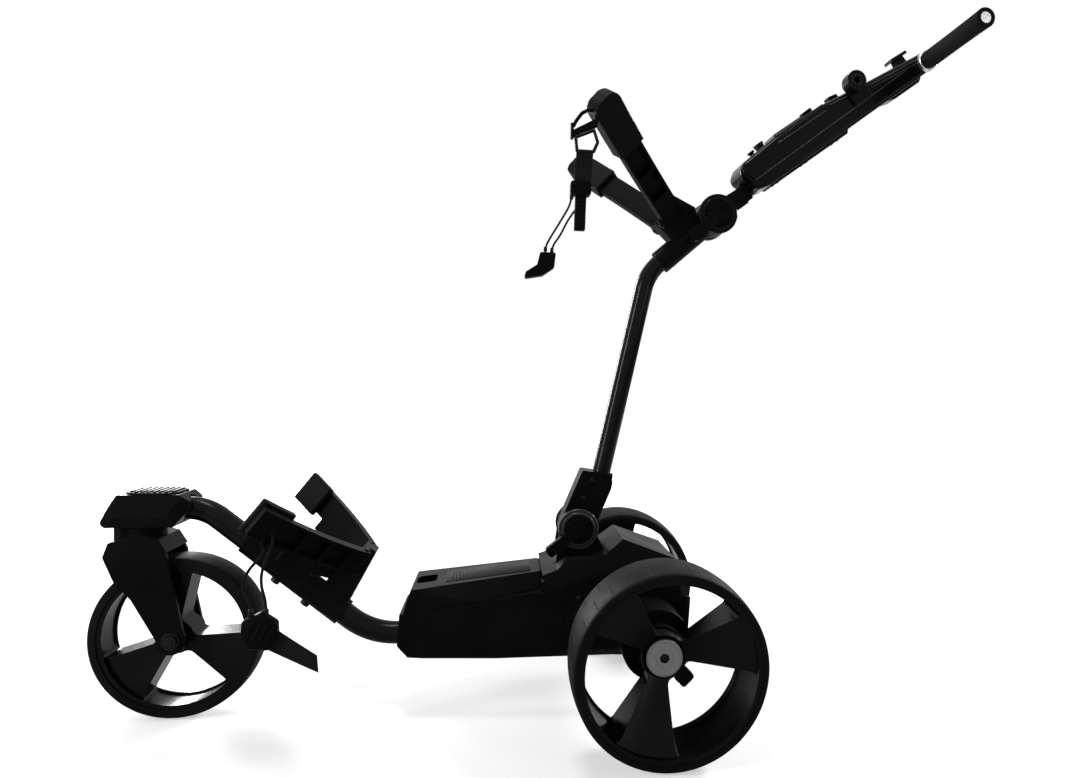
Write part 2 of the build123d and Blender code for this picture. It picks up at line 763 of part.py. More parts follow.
def cradle_lugs(root, width):
    """Adds the lugs that carry a cradle's two arms."""
    for low in (-width / 2, arm_knuckle_half + gap):
        height = width / 2 - arm_knuckle_half - gap
        plane = bag_plane(root, low)
        slab(plane, [(-arm_hinge, -arm_knuckle), (arm_hinge, -arm_knuckle), (arm_hinge, arm_knuckle),
                     (-arm_hinge, arm_knuckle)], height, both=False)
        for side in (-arm_hinge, arm_hinge):
            rod(plane, (side, 0), arm_knuckle, height)
    for side in (-arm_hinge, arm_hinge):
        rod(bag_plane(root), (side, 0), arm_knuckle + gap, arm_knuckle_half + gap, both=True,
            mode=Mode.SUBTRACT)
        rod(bag_plane(root), (side, 0), arm_pin + seat_fit, width, both=True, mode=Mode.SUBTRACT)


def arc_of(start, middle, end):
    """The centre, radius, first angle and swept angle of the arc through three points."""
    (ax, ay), (bx, by), (cx, cy) = start, middle, end
    d = 2 * (ax * (by - cy) + bx * (cy - ay) + cx * (ay - by))
    ux = ((ax**2 + ay**2) * (by - cy) + (bx**2 + by**2) * (cy - ay) + (cx**2 + cy**2) * (ay - by)) / d
    uy = ((ax**2 + ay**2) * (cx - bx) + (bx**2 + by**2) * (ax - cx) + (cx**2 + cy**2) * (bx - ax)) / d
    first = math.atan2(ay - uy, ax - ux)
    last = math.atan2(cy - uy, cx - ux)
    return (ux, uy), math.dist((ux, uy), start), first, last - first


def arc_point(arc, share, inward):
    """A point at a share of the arc's length, moved in towards the bag."""
    (x, y), radius, first, sweep_angle = arc
    angle = first + share * sweep_angle
    distance = radius + math.copysign(1, sweep_angle) * inward
    return (x + distance * math.cos(angle), y + distance * math.sin(angle))


def band(plane, arc, start, end, inner, outer, half, mode=Mode.ADD):
    """Adds or cuts a curved band between two shares of an arc and two depths inward of it."""
    middle = (start + end) / 2
    with BuildSketch(plane) as shape:
        with BuildLine():
            ThreePointArc(arc_point(arc, start, inner), arc_point(arc, middle, inner),
                          arc_point(arc, end, inner))
            Line(arc_point(arc, end, inner), arc_point(arc, end, outer))
            ThreePointArc(arc_point(arc, end, outer), arc_point(arc, middle, outer),
                          arc_point(arc, start, outer))
            Line(arc_point(arc, start, outer), arc_point(arc, start, inner))
        make_face()
    extrude(shape.sketch, amount=half, both=True, mode=mode)


def arm_arc(out, rise, sag):
    """The arc of a left cradle arm from its hinge to its tip."""
    run_y, run_n = out - arm_hinge, rise
    length = math.hypot(run_y, run_n)
    middle = (-arm_hinge - run_y / 2 - sag * run_n / length, run_n / 2 - sag * run_y / length)
    return arc_of((-arm_hinge, 0), middle, (-out, rise))


def cradle_arm(root, arc, width):
    """A cradle arm: a curved channel, open and ribbed on its back, with a hinge knuckle at its root."""
    plane = bag_plane(root)
    with BuildPart() as arm:
        band(plane, arc, 0, 1, arm_face, -arm_back, width / 2)
        rod(plane, (-arm_hinge, 0), arm_knuckle + gap, width, both=True, mode=Mode.SUBTRACT)
        rod(plane, (-arm_hinge, 0), arm_knuckle, arm_knuckle_half, both=True)
        band(plane, arc, 0.02, 0.12, arm_face, -arm_back, arm_knuckle_half)
        for cell in range(3):
            begin = 0.2 + 0.22 * cell
            band(plane, arc, begin, begin + 0.19, arm_face - arm_plate, -arm_back - 1,
                 width / 2 - arm_flange, Mode.SUBTRACT)
        rod(plane, (-arm_hinge, 0), arm_pin + run_fit, width, both=True, mode=Mode.SUBTRACT)
        keep = arm_knuckle_half + gap
        for low in (keep, -width):
            rod(bag_plane(root, low), (-arm_hinge, 0), arm_knuckle + 3 * gap, width - keep,
                mode=Mode.SUBTRACT)
    return arm


lower_arc = arm_arc(lower_arm_out, lower_arm_rise, lower_arm_sag)
upper_arc = arm_arc(upper_arm_out, upper_arm_rise, upper_arm_sag)
plain_lower_arm = cradle_arm(lower_root, lower_arc, lower_arm_width)
wing_plane = bag_plane(lower_root, -lower_arm_width / 2 - lower_arm_wing / 2)
with BuildPart() as lower_arm:
    add(plain_lower_arm.part)
    band(wing_plane, lower_arc, 0.14, 0.66, arm_face, arm_face - arm_plate, lower_arm_wing / 2 + 1)
with BuildPart() as lower_arm_right:
    mirror(lower_arm.part, about=Plane.XZ)
save(lower_arm_right, "lower_arm_right")

# The left arm has two pegs under its tip for the elastic cord
with BuildPart() as lower_arm_left:
    add(lower_arm.part)
    for ahead, low in cord_pegs:
        rod(Plane.XY.offset(low), (axle_x - ahead, -buckle_out), peg_radius, peg_length)
save(lower_arm_left, "lower_arm_left")
save_pair(cradle_arm(upper_root, upper_arc, upper_arm_width), "upper_arm")

with BuildPart() as lower_pad:
    band(bag_plane(lower_root), lower_arc, 0.74, 1.02, arm_face + pad_thickness, arm_face,
         lower_arm_width / 2 + pad_lip)
    chamfer(lower_pad.edges().filter_by(Axis((0, 0, 0), bag_plane(lower_root).z_dir)), 3)
save_pair(lower_pad, "lower_pad")

with BuildPart() as upper_pad:
    plane = bag_plane(upper_root)
    band(plane, upper_arc, 0.64, 1.06, arm_face + 2 * cap_wall, -arm_back - cap_wall,
         upper_arm_width / 2 + cap_wall)
    tip = plane.from_local_coords((*arc_point(upper_arc, 1.06, 0), 0))
    cap_edges = upper_pad.faces().sort_by_distance(tip)[0].edges()
    fillet(cap_edges.filter_by(Axis((0, 0, 0), plane.z_dir), reverse=True), cap_round)
    band(plane, upper_arc, 0.5, 1, arm_face + seat_fit, -arm_back - seat_fit, upper_arm_width / 2 + seat_fit,
         Mode.SUBTRACT)
save_pair(upper_pad, "upper_pad")

# Lower rest bracket on the sloping run of the main tube
slope = math.atan2(tube_path[2][1] - tube_path[1][1], tube_path[2][0] - tube_path[1][0])
rest_mid = ((tube_path[1][0] + tube_path[2][0]) / 2 + 10, 0)
rest_mid = (rest_mid[0], tube_head_up + (rest_mid[0] - tube_path[1][0]) * math.tan(slope))
slope_plane = Plane((rest_mid[0], 0, rest_mid[1]), x_dir=(0, 1, 0),
                    z_dir=(math.cos(slope), 0, math.sin(slope)))
post_outline = from_axle([(-454, 224), (-418, 244), (-404, 238), (-452, 146), (-490, 176)])
saddle_outline = from_axle([(-572, 244), (-548, 262), (-520, 246), (-498, 206), (-500, 186), (-560, 232)])
with BuildPart() as rest_bracket:
    rod(slope_plane, (0, 0), tube_radius + rest_sleeve_wall, rest_sleeve_length / 2, both=True)
    slab(Plane.XZ, post_outline, post_half, 3)
    slab(Plane.XZ, saddle_outline, post_half, 4)
    cradle_lugs(lower_root, lower_arm_width)
    rod(slope_plane, (0, 0), tube_radius + seat_fit, FAR / 2, both=True, mode=Mode.SUBTRACT)
save(rest_bracket, "rest_bracket")

with BuildPart() as rest_fasteners:
    for side in (-arm_hinge, arm_hinge):
        rod(bag_plane(lower_root), (side, 0), arm_pin, lower_arm_width / 2 + 2, both=True)
    for along in (-20, 35):
        foot = (rest_mid[0] + along * math.cos(slope), rest_mid[1] + along * math.sin(slope))
        plane = Plane((foot[0], 0, foot[1]), x_dir=(0, 1, 0), z_dir=(math.sin(slope), 0, -math.cos(slope)))
        rod(plane.offset(tube_radius + rest_sleeve_wall - 1), (0, 0), 7, 6)
    rod(slope_plane, (0, 0), tube_radius + rest_sleeve_wall + seat_fit, FAR / 2, both=True,
        mode=Mode.SUBTRACT)
save(rest_fasteners, "rest_fasteners")

# Mast top joint: sleeve, hinge knuckle and the bracket of the upper cradle
sleeve_plane = Plane((mast_bend[0], 0, mast_bend[1]), x_dir=(0, 1, 0),
                     z_dir=(math.cos(sleeve_run), 0, math.sin(sleeve_run)))
sleeve_start = mast_bend_radius * math.tan(abs(mast_run - sleeve_run) / 2) + 2
gusset_outline = from_axle([(22, 805), (76, 779), (84, 751), (52, 733)])
bracket_outline = [(-post_half, -46), (post_half, -46), (post_half, arm_knuckle), (-post_half, arm_knuckle)]
with BuildPart() as mast_top_joint:
    rod(sleeve_plane.offset(sleeve_start), (0, 0), mast_radius + sleeve_wall, sleeve_length - sleeve_start)
    cross_bar(upper_hinge, knuckle_radius, -knuckle_half, knuckle_half)
    slab(bag_plane(upper_root), bracket_outline, 24)
    slab(Plane.XZ, gusset_outline, post_half)
    cradle_lugs(upper_root, upper_arm_width + 2 * arm_flange)
    rod(sleeve_plane, (0, 0), mast_radius + seat_fit, sleeve_length - knuckle_radius - 6 + gap,
        mode=Mode.SUBTRACT)
    cross_bar(upper_hinge, pivot_radius + run_fit, -FAR, FAR, Mode.SUBTRACT)
save(mast_top_joint, "mast_top_joint")

with BuildPart() as mast_pins:
    for side in (-arm_hinge, arm_hinge):
        rod(bag_plane(upper_root), (side, 0), arm_pin, upper_arm_width / 2 + arm_flange + 2, both=True)
    cross_bar(upper_hinge, pivot_radius, -ear_out, ear_out + lever_thickness)
save(mast_pins, "mast_pins")

# Handle: drawn in its own plane, along the handle and up from it
handle_run = math.radians(handle_tilt)
handle_side = Plane((upper_hinge[0], 0, upper_hinge[1]),
                    x_dir=(math.cos(handle_run), 0, math.sin(handle_run)), z_dir=(0, -1, 0))


def handle_section(along):
    """A plane square to the handle at a distance from its hinge."""
    place = handle_side.from_local_coords((along, 0, 0))
    return Plane(place, x_dir=(0, -1, 0), z_dir=(math.cos(handle_run), 0, math.sin(handle_run)))


base_outline = [(knuckle_radius + 4, -13), (knuckle_radius + 4, 15), (70, 15), (70, -12)]
with BuildPart() as handle_base:
    slab(handle_side, base_outline, 2 * handle_radius, 3)
    for start in (ear_in, -ear_out):
        slab(handle_side.offset(start), [(0, -18), (0, 18), (52, 14), (52, -11)], ear_thickness, both=False)
        cross_bar(upper_hinge, ear_radius - 1, start, start + ear_thickness)
    slab(handle_side, [(knuckle_radius + 4, -14), (knuckle_radius + 4, 14), (52, 14), (52, -14)], ear_out)
    rod(handle_section(handle_start), (0, 0), handle_radius + seat_fit, FAR, mode=Mode.SUBTRACT)
    cross_bar(upper_hinge, pivot_radius + run_fit, -FAR, FAR, Mode.SUBTRACT)
save(handle_base, "handle_base")

tbar_place = handle_side.from_local_coords((handle_length, 0, 0))
tbar = (tbar_place.X, tbar_place.Z)
with BuildPart() as handle_tube:
    rod(handle_section(handle_start), (0, 0), handle_radius, handle_length - handle_start)
    cross_bar(tbar, tbar_radius, -tbar_half + end_disc_thickness, tbar_half - end_disc_thickness)
    rod(handle_section(handle_start), (0, 0), handle_radius - tube_wall, handle_length - handle_start,
        mode=Mode.SUBTRACT)
    cross_bar(tbar, tbar_radius - tube_wall, -tbar_half, tbar_half, Mode.SUBTRACT)
save(handle_tube, "handle_tube")

with BuildPart() as grip:
    cross_bar(tbar, grip_radius, grip_start, tbar_half - end_disc_thickness)
    cross_bar(tbar, tbar_radius + seat_fit, grip_start, tbar_half - end_disc_thickness, Mode.SUBTRACT)
    fillet(grip.edges().filter_by(GeomType.CIRCLE).sort_by(SortBy.RADIUS)[-2:], 1.5)
save_both(grip, "grips")

with BuildPart() as tbar_trim:
    cross_bar(tbar, ring_radius, ring_start, grip_start)
    cross_bar(tbar, tbar_radius + seat_fit, ring_start, grip_start, Mode.SUBTRACT)
    cross_bar(tbar, end_disc_radius, tbar_half - end_disc_thickness, tbar_half)
save_both(tbar_trim, "tbar_trim")

console_low = [
    (74, console_split),
    (74, -6),
    (100, -12),
    (handle_length - 24, -14.5),
    (handle_length + 13.6, -13.6),
    (handle_length + 13.6, console_split),
]
console_high = [
    (handle_length + 13.6, console_split),
    (handle_length + 5, 17),
    (handle_length - 104, 31),
    (250, 43),
    (150, 46),
    (84, 42),
    (66, 30),
    (74, console_split),
]


def from_bar(points):
    """Moves side-view points, given from the cross bar, to their distance from the handle's hinge."""
    return [(handle_length + along, up) for along, up in points]


def console_body(points, bend, half, edge):
    """A console shell's outline drawn out to both sides, its long outer edges rounded."""
    with BuildPart() as body:
        with BuildSketch(handle_side) as side_view:
            with BuildLine():
                Polyline(*points, close=True)
            make_face()
            away = [v for v in side_view.vertices() if abs(v.Y - console_split) > console_edge]
            fillet(away, bend)
        extrude(amount=half, both=True)
        ends = body.faces().sort_by(Axis.Y)
        rims = ends[0].edges() + ends[-1].edges()
        heights = [handle_side.to_local_coords(rim_edge.center()).Y - console_split for rim_edge in rims]
        fillet([e for e, height in zip(rims, heights) if abs(height) > console_edge / 2], edge)
    return body


def moved_in(points):
    """A console outline moved in by the wall on every side but the split."""
    middle = (points[0][0] + points[-1][0]) / 2
    inner = []
    for along, up in points:
        away = 0 if up == console_split else math.copysign(console_wall, console_split - up)
        inner.append((along + math.copysign(console_wall, middle - along), up + away))
    return inner


def console_shell(points, bend, edge):
    """A hollow console shell with the handle tube and the cross bar cleared through it."""
    outer = console_body(points, bend, console_half, edge)
    inner = console_body(moved_in(points), bend, console_half - console_wall, edge - console_wall)
    with BuildPart() as shell:
        add(outer.part)
        add(inner.part, mode=Mode.SUBTRACT)
        rod(handle_section(handle_start), (0, 0), handle_radius + seat_fit, handle_length, mode=Mode.SUBTRACT)
        cross_bar(tbar, tbar_radius + seat_fit, -FAR, FAR, Mode.SUBTRACT)
    return shell


def handle_top(up):
    """A plane square to the console's upward direction at a height above the handle's axis."""
    place = handle_side.from_local_coords((0, up, 0))
    return Plane(place, x_dir=(math.cos(handle_run), 0, math.sin(handle_run)),
                 z_dir=(-math.sin(handle_run), 0, math.cos(handle_run)))


lower_shell = console_shell(console_low, 13.0, console_edge / 2)
with BuildPart() as console_lower:
    add(lower_shell.part)
    slab(handle_side, [(100, -10), (268, -12.5), (262, -18.5), (106, -15.5)], 20)
    keel = [(-88, -12), (-2, -12), (-14, -20), (-64, -19)]
    slab(handle_side, from_bar(keel), 14)
save(console_lower, "console_lower")

# The console's flat top carries the display, the power button and the speed dial
deck_start, deck_end = console_high[4], console_high[3]
deck_fall = (deck_start[1] - deck_end[1]) / (deck_end[0] - deck_start[0])


def deck(along):
    """Height of the console's flat top above the handle's axis."""
    return deck_start[1] - (along - deck_start[0]) * deck_fall


display_start = 153.0
display_end = 214.0
display_half = 24.0
display_thickness = 4.0
button_along = 116.0
button_seat = 46.5
dial_along = 232.0
dial_seat = deck(dial_along - dial_radius) + gap
collar_top = 39.0
collar_height = 3.0
upper_shell = console_shell(console_high, 1.4 * console_edge, console_edge)
with BuildPart() as console_upper:
    add(upper_shell.part)
    slab(handle_side, from_bar([(-26, 14), (-8, 14), (-10, 34), (-23, 34)]), 9)
    slab(handle_side, from_bar([(-34, 33), (-2, 31), (-2, 36), (-32, 38)]), 12)
    slab(handle_side, [(270, 26), (292, 24), (290, 45), (275, 48)], 9)
    slab(handle_side, [(129, 42), (138, 42), (141, 54), (127, 54)], 7)
    cross_bar(tbar, tbar_radius + seat_fit, -FAR, FAR, Mode.SUBTRACT)
    rod(handle_top(collar_top), (button_along, 0), button_stem + run_fit, 20, mode=Mode.SUBTRACT)
    rod(handle_top(collar_top), (dial_along, 0), button_stem + run_fit, 20, mode=Mode.SUBTRACT)
save(console_upper, "console_upper")

with BuildPart() as display:
    slab(handle_side, [(display_start, deck(display_start)), (display_end, deck(display_end)),
                       (display_end - 2, deck(display_end) + display_thickness),
                       (display_start + 2, deck(display_start) + display_thickness)], display_half)
save(display, "display")

with BuildPart() as power_button:
    rod(handle_top(collar_top - collar_height), (button_along, 0), button_stem + 2, collar_height)
    rod(handle_top(collar_top - collar_height), (button_along, 0), button_stem, button_seat - collar_top + 5)
    rod(handle_top(button_seat), (button_along, 0), button_radius, button_rise - button_travel)
    chamfer(power_button.edges().filter_by(GeomType.CIRCLE).group_by(SortBy.RADIUS)[-1][-1:], 0.8)
save(power_button, "power_button")

with BuildPart() as speed_dial:
    rod(handle_top(collar_top - collar_height), (dial_along, 0), button_stem + 2, collar_height)
    rod(handle_top(collar_top - collar_height), (dial_along, 0), button_stem, dial_seat - collar_top + 5)
    with BuildSketch(handle_top(dial_seat)) as knob:
        with Locations((dial_along, 0)):
            Circle(dial_radius)
            with PolarLocations(dial_radius + 1, 12):
                Circle(2, mode=Mode.SUBTRACT)
    extrude(knob.sketch, amount=dial_rise)
save(speed_dial, "speed_dial")

with BuildPart() as accessory_barrel:
    barrel_place = (handle_length - 130, 41)
    barrel_foot = from_bar([(-145, 10), (-109, 10), (-114, 41), (-146, 41)])
    slab(handle_side.offset(console_half), barrel_foot, 5, both=False)
    rod(handle_side.offset(console_half), barrel_place, mount_barrel_radius, mount_barrel_length)
    rod(handle_side.offset(console_half + mount_barrel_length - 18), barrel_place, barrel_bore, 18,
        mode=Mode.SUBTRACT)
    chamfer(accessory_barrel.edges().filter_by(GeomType.CIRCLE).sort_by(Axis.Y)[:2], 1)
save(accessory_barrel, "accessory_barrel")


# Hanging straps: cords are straight runs joined by tangent arcs
def cord(points, radius):
    """A round cord along its points, each corner rounded by a share of its shorter run."""
    bends = []
    for before, corner, after in zip(points, points[1:], points[2:]):
        run_in, run_out = Vector(*corner) - Vector(*before), Vector(*after) - Vector(*corner)
        turn = math.radians(run_in.get_angle(run_out))
        bends.append(0.45 * min(run_in.length, run_out.length) / math.tan(turn / 2))
    print("bend radii", [round(bend, 1) for bend in bends])
    with BuildPart() as part:
        with BuildLine() as path:
            FilletPolyline(*points, radius=bends)
        with BuildSketch(Plane(path.line @ 0, z_dir=path.line % 0)):
            Circle(radius)
        sweep()
    swept = math.pi * radius**2 * path.wires()[0].length
    print("volume over section times length", part.part.volume / swept)
    return part


def at(y, points):
    """Side-view points from the rear axle, placed at a distance to the left."""
    return [(axle_x + x, -y, z) for x, z in points]


strap_side = Plane.XZ.offset(strap_out)
bracket_plane = bag_plane(upper_root, -upper_arm_width / 2 - cap_wall)
with BuildPart() as strap_bracket:
    with BuildSketch(bracket_plane) as bracket_foot:
        with Locations((-strap_out, upper_arm_rise)):
            Rectangle(5, 30)
    extrude(bracket_foot.sketch, amount=-34)
save(strap_bracket, "strap_bracket")

pull_top = 770.0
pull_low = 751.0
web_plane = Plane.XZ.offset(strap_out + 2.5)
with BuildPart() as strap_webbing:
    slab(web_plane, from_axle([(-130, 846), (-106, 840), (-110, pull_top - 8), (-130, pull_top - 8)]),
         webbing_thickness, 1, both=False)
    slab(web_plane, from_axle([(-126, 826), (-111, 823), (-112, 812), (-126, 812)]), webbing_thickness, 1,
         both=False, mode=Mode.SUBTRACT)
save(strap_webbing, "strap_webbing")

with BuildPart() as strap_pull:
    slab(strap_side, from_axle([(-135, pull_low), (-135, pull_top), (-107, pull_top), (-107, pull_low)]),
         8, 4)
    slab(strap_side, from_axle([(-129, 704), (-128, pull_low + 2), (-113, pull_low + 2), (-114, 704)]), 4, 2)
    slab(web_plane, from_axle([(-131, pull_top + 1), (-109, pull_top + 1), (-109, pull_top - 8),
                               (-131, pull_top - 8)]), webbing_thickness, both=False, mode=Mode.SUBTRACT)
save(strap_pull, "strap_pull")

hook_top = 672.0
strap_routes = (
    at(strap_out, [(-133, pull_low), (-133, 741), (-147, 716), (-160, 694), (-167, 681), (-167, hook_top)]),
    at(strap_out - 5.5, [(-122, pull_low), (-122, 740), (-137, 719), (-147, 697), (-158, 682),
                         (-158, hook_top)]),
)
strap_cords = [cord(route, cord_radius) for route in strap_routes]
with BuildPart() as strap_cord:
    for run in strap_cords:
        add(run.part)
save(strap_cord, "strap_cord")

with BuildPart() as strap_hook:
    slab(strap_side, from_axle([(-174, hook_top), (-153, hook_top), (-155, 652), (-170, 641), (-195, 636),
                                (-193, 645), (-178, 655)]), 8, 2.5)
save(strap_hook, "strap_hook")

buckle_top = 186.0
buckle_routes = (
    at(buckle_out, [(-517, 288), (-517, 276), (-528, 252), (-532, 226), (-524, 200), (-524, buckle_top)]),
    at(buckle_out, [(-528, 274), (-528, 264), (-548, 243), (-556, 218), (-543, 199), (-543, buckle_top)]),
)
buckle_cords = [cord(route, lower_cord_radius) for route in buckle_routes]
with BuildPart() as lower_cord:
    for run in buckle_cords:
        add(run.part)
save(lower_cord, "lower_cord")

with BuildPart() as lower_buckle:
    slab(Plane.XZ.offset(buckle_out), from_axle([(-551, buckle_top), (-515, buckle_top), (-511, 160),
                                                 (-519, 143), (-546, 141), (-553, 160)]), 8, 4)
    slab(Plane.XZ.offset(buckle_out), from_axle([(-522, 158), (-459, 128), (-456, 105), (-522, 145)]), 1.5, 2)
save(lower_buckle, "lower_buckle")
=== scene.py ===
import bpy
import bmesh
import json
import math
from mathutils import Matrix, Vector

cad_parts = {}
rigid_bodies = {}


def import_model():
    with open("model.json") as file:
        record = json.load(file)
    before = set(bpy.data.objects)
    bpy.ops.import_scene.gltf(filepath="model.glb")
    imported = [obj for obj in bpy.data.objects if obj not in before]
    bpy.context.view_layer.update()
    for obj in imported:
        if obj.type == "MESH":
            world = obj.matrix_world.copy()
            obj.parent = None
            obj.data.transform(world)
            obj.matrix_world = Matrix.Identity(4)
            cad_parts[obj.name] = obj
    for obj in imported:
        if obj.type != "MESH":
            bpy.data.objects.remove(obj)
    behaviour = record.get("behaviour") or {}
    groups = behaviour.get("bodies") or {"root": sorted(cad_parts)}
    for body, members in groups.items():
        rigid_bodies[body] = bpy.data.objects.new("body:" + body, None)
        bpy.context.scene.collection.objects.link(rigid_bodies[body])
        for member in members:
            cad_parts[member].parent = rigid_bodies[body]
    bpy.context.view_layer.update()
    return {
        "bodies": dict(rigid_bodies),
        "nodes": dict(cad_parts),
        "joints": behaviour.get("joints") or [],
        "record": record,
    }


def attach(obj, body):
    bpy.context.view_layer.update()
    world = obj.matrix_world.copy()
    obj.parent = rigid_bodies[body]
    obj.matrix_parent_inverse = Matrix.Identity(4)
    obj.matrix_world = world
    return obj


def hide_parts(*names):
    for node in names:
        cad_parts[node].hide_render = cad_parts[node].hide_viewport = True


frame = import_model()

nodes = frame["nodes"]
scene = bpy.context.scene

# Camera, recovered from the photograph: sizes in pixels, angles in degrees, the eye in millimetres
PHOTO_WIDE, PHOTO_HIGH = 1080, 778
FOCAL = 813.7
CENTRE = (631.5, 388.1)
YAW, PITCH, ROLL = -8.99, -0.60, 1.07
EYE = (-220.6, -1281.5, 503.3)
SENSOR = 36.0

# Main places in millimetres: X from the rear axle, Y from the mid-plane, Z from the ground
REAR = 0.166373  # the rear axle's X in the part's frame, in metres
HALF_TRACK = 225
REAR_RADIUS, FRONT_RADIUS = 130, 118
REAR_HUB, FRONT_HUB = (0, 0, REAR_RADIUS), (-682, 0, FRONT_RADIUS)
LOWER_HINGE, UPPER_HINGE = (-102, 272), (109, 766)  # the folds' X and Z
HANDLE_TILT = 37.6  # degrees up from level
BAR_CENTRE = (434, 0, 0)  # the cross bar, in the handle's frame
BARREL_CENTRE = (304, 0, 41)  # the accessory barrel, in the handle's frame
DECK_START, DECK_SLOPE = (150, 0, 46), 0.03  # the display's deck, in the handle's frame
LID_EDGE, LID_TILT = (-349, 189), 6.66  # the battery lid's front edge
HEAD_TOP = (-730, 326)  # the steering head's flat top
CHASSIS_SIDE, SOCKET_SIDE, CONSOLE_SIDE = 84, 23.5, 37  # half widths where screws and strips sit
LEVER_EDGE_Y = -48.9  # the raised edges on the clamp levers
STRAP_Y, STRAP_INNER_Y, RING_Y, BUNGEE_Y = -176, -170.5, -180, -150  # where the straps hang


def at(x, y, z):
    """A point given in millimetres from the rear axle, as a place in the part's frame."""
    return Vector((REAR + x / 1000, y / 1000, z / 1000))


def place_camera():
    data = bpy.data.cameras.new("camera")
    camera = bpy.data.objects.new("camera", data)
    scene.collection.objects.link(camera)
    data.sensor_width = SENSOR
    data.sensor_fit = "HORIZONTAL"
    data.lens = FOCAL / PHOTO_WIDE * SENSOR
    data.shift_x = 0.5 - CENTRE[0] / PHOTO_WIDE
    data.shift_y = (CENTRE[1] - PHOTO_HIGH / 2) / PHOTO_WIDE
    data.clip_end = 50
    yaw, pitch, roll = math.radians(YAW), math.radians(PITCH), math.radians(ROLL)
    turn = Matrix.Rotation(yaw, 3, "Z")
    ahead = Vector((0, math.cos(pitch), math.sin(pitch)))
    above = Vector((0, -math.sin(pitch), math.cos(pitch)))
    side = Vector((1, 0, 0))
    right = turn @ (side * math.cos(roll) + above * math.sin(roll))
    up = turn @ (above * math.cos(roll) - side * math.sin(roll))
    back = -(turn @ ahead)
    spin = Matrix((right, up, back)).transposed()
    camera.matrix_world = Matrix.Translation(at(*EYE)) @ spin.to_4x4()
    scene.camera = camera


place_camera()
scene.view_settings.view_transform = "Standard"


# Materials
class Shade:
    """A node material with a principled shader and helpers for its pattern."""

    def __init__(self, name, base, rough, metal=0.0, specular=0.5, coat=0.0):
        self.mat = bpy.data.materials.new(name)
        self.mat.use_nodes = True
        self.tree = self.mat.node_tree
        self.bsdf = self.tree.nodes["Principled BSDF"]
        self.bsdf.inputs["Base Color"].default_value = (*base, 1)
        self.bsdf.inputs["Roughness"].default_value = rough
        self.bsdf.inputs["Metallic"].default_value = metal
        self.bsdf.inputs["Specular IOR Level"].default_value = specular
        self.bsdf.inputs["Coat Weight"].default_value = coat
        self.coords = self.tree.nodes.new("ShaderNodeTexCoord").outputs["Object"]

    def add(self, kind, **values):
        """A new node with its settings and its sockets' values, spaces written as underscores."""
        node = self.tree.nodes.new(kind)
        for key, value in values.items():
            if hasattr(node, key):
                setattr(node, key, value)
            else:
                node.inputs[key.replace("_", " ")].default_value = value
        return node

    def link(self, source, target):
        self.tree.links.new(source, target)

    def noise(self, scale, detail):
        node = self.add("ShaderNodeTexNoise", Scale=scale, Detail=detail)
        self.link(self.coords, node.inputs["Vector"])
        return node.outputs["Fac"]

    def ramp(self, source, low, high):
        """Spreads the middle of a noise between two values."""
        node = self.add("ShaderNodeMapRange", From_Min=0.3, From_Max=0.7, To_Min=low, To_Max=high)
        self.link(source, node.inputs["Value"])
        return node.outputs["Result"]

    def tint(self, source, dark, light):
        node = self.add("ShaderNodeMix", data_type="RGBA")
        self.link(source, node.inputs["Factor"])
        colours = [s for s in node.inputs if s.type == "RGBA"]
        colours[0].default_value = (*dark, 1)
        colours[1].default_value = (*light, 1)
        mixed = [s for s in node.outputs if s.type == "RGBA"][0]
        self.link(mixed, self.bsdf.inputs["Base Color"])

    def rough(self, source, low, high):
        self.link(self.ramp(source, low, high), self.bsdf.inputs["Roughness"])

    def bump(self, source, depth):
        node = self.add("ShaderNodeBump", Strength=1.0, Distance=depth)
        self.link(source, node.inputs["Height"])
        self.link(node.outputs["Normal"], self.bsdf.inputs["Normal"])
        self.relief = node

    def soften(self, radius):
        """Rounds sharp edges in the shading, under the bump."""
        node = self.add("ShaderNodeBevel", samples=4, Radius=radius)
        self.link(node.outputs["Normal"], self.relief.inputs["Normal"])


def grained(name, base, rough, grain, depth, spread=0.06, specular=0.028):
    """Moulded plastic or rubber: fine grain, slow colour change, patchy sheen, soft edges."""
    shade = Shade(name, base, rough, specular=specular)
    shade.tint(shade.ramp(shade.noise(14, 4), 0, 1), [c * 0.75 for c in base],
               [c * 1.3 for c in base])
    shade.rough(shade.noise(22, 5), rough - spread, rough + spread)
    shade.bump(shade.noise(grain, 3), depth)
    shade.soften(0.0008)
    return shade.mat


def turned_metal(name, base, rough):
    """Metal with the fine rings a lathe leaves about the rear axle's line."""
    shade = Shade(name, base, rough, metal=1.0)
    place = shade.add("ShaderNodeMapping", Location=(-REAR, 0.0, -REAR_RADIUS / 1000))
    shade.link(shade.coords, place.inputs["Vector"])
    rings = shade.add("ShaderNodeTexWave", wave_type="RINGS", rings_direction="Y", Scale=160.0,
                      Distortion=0.6)
    shade.link(place.outputs["Vector"], rings.inputs["Vector"])
    shade.rough(shade.noise(60, 4), rough - 0.06, rough + 0.08)
    shade.bump(rings.outputs["Fac"], 0.00002)
    shade.soften(0.0005)
    return shade.mat


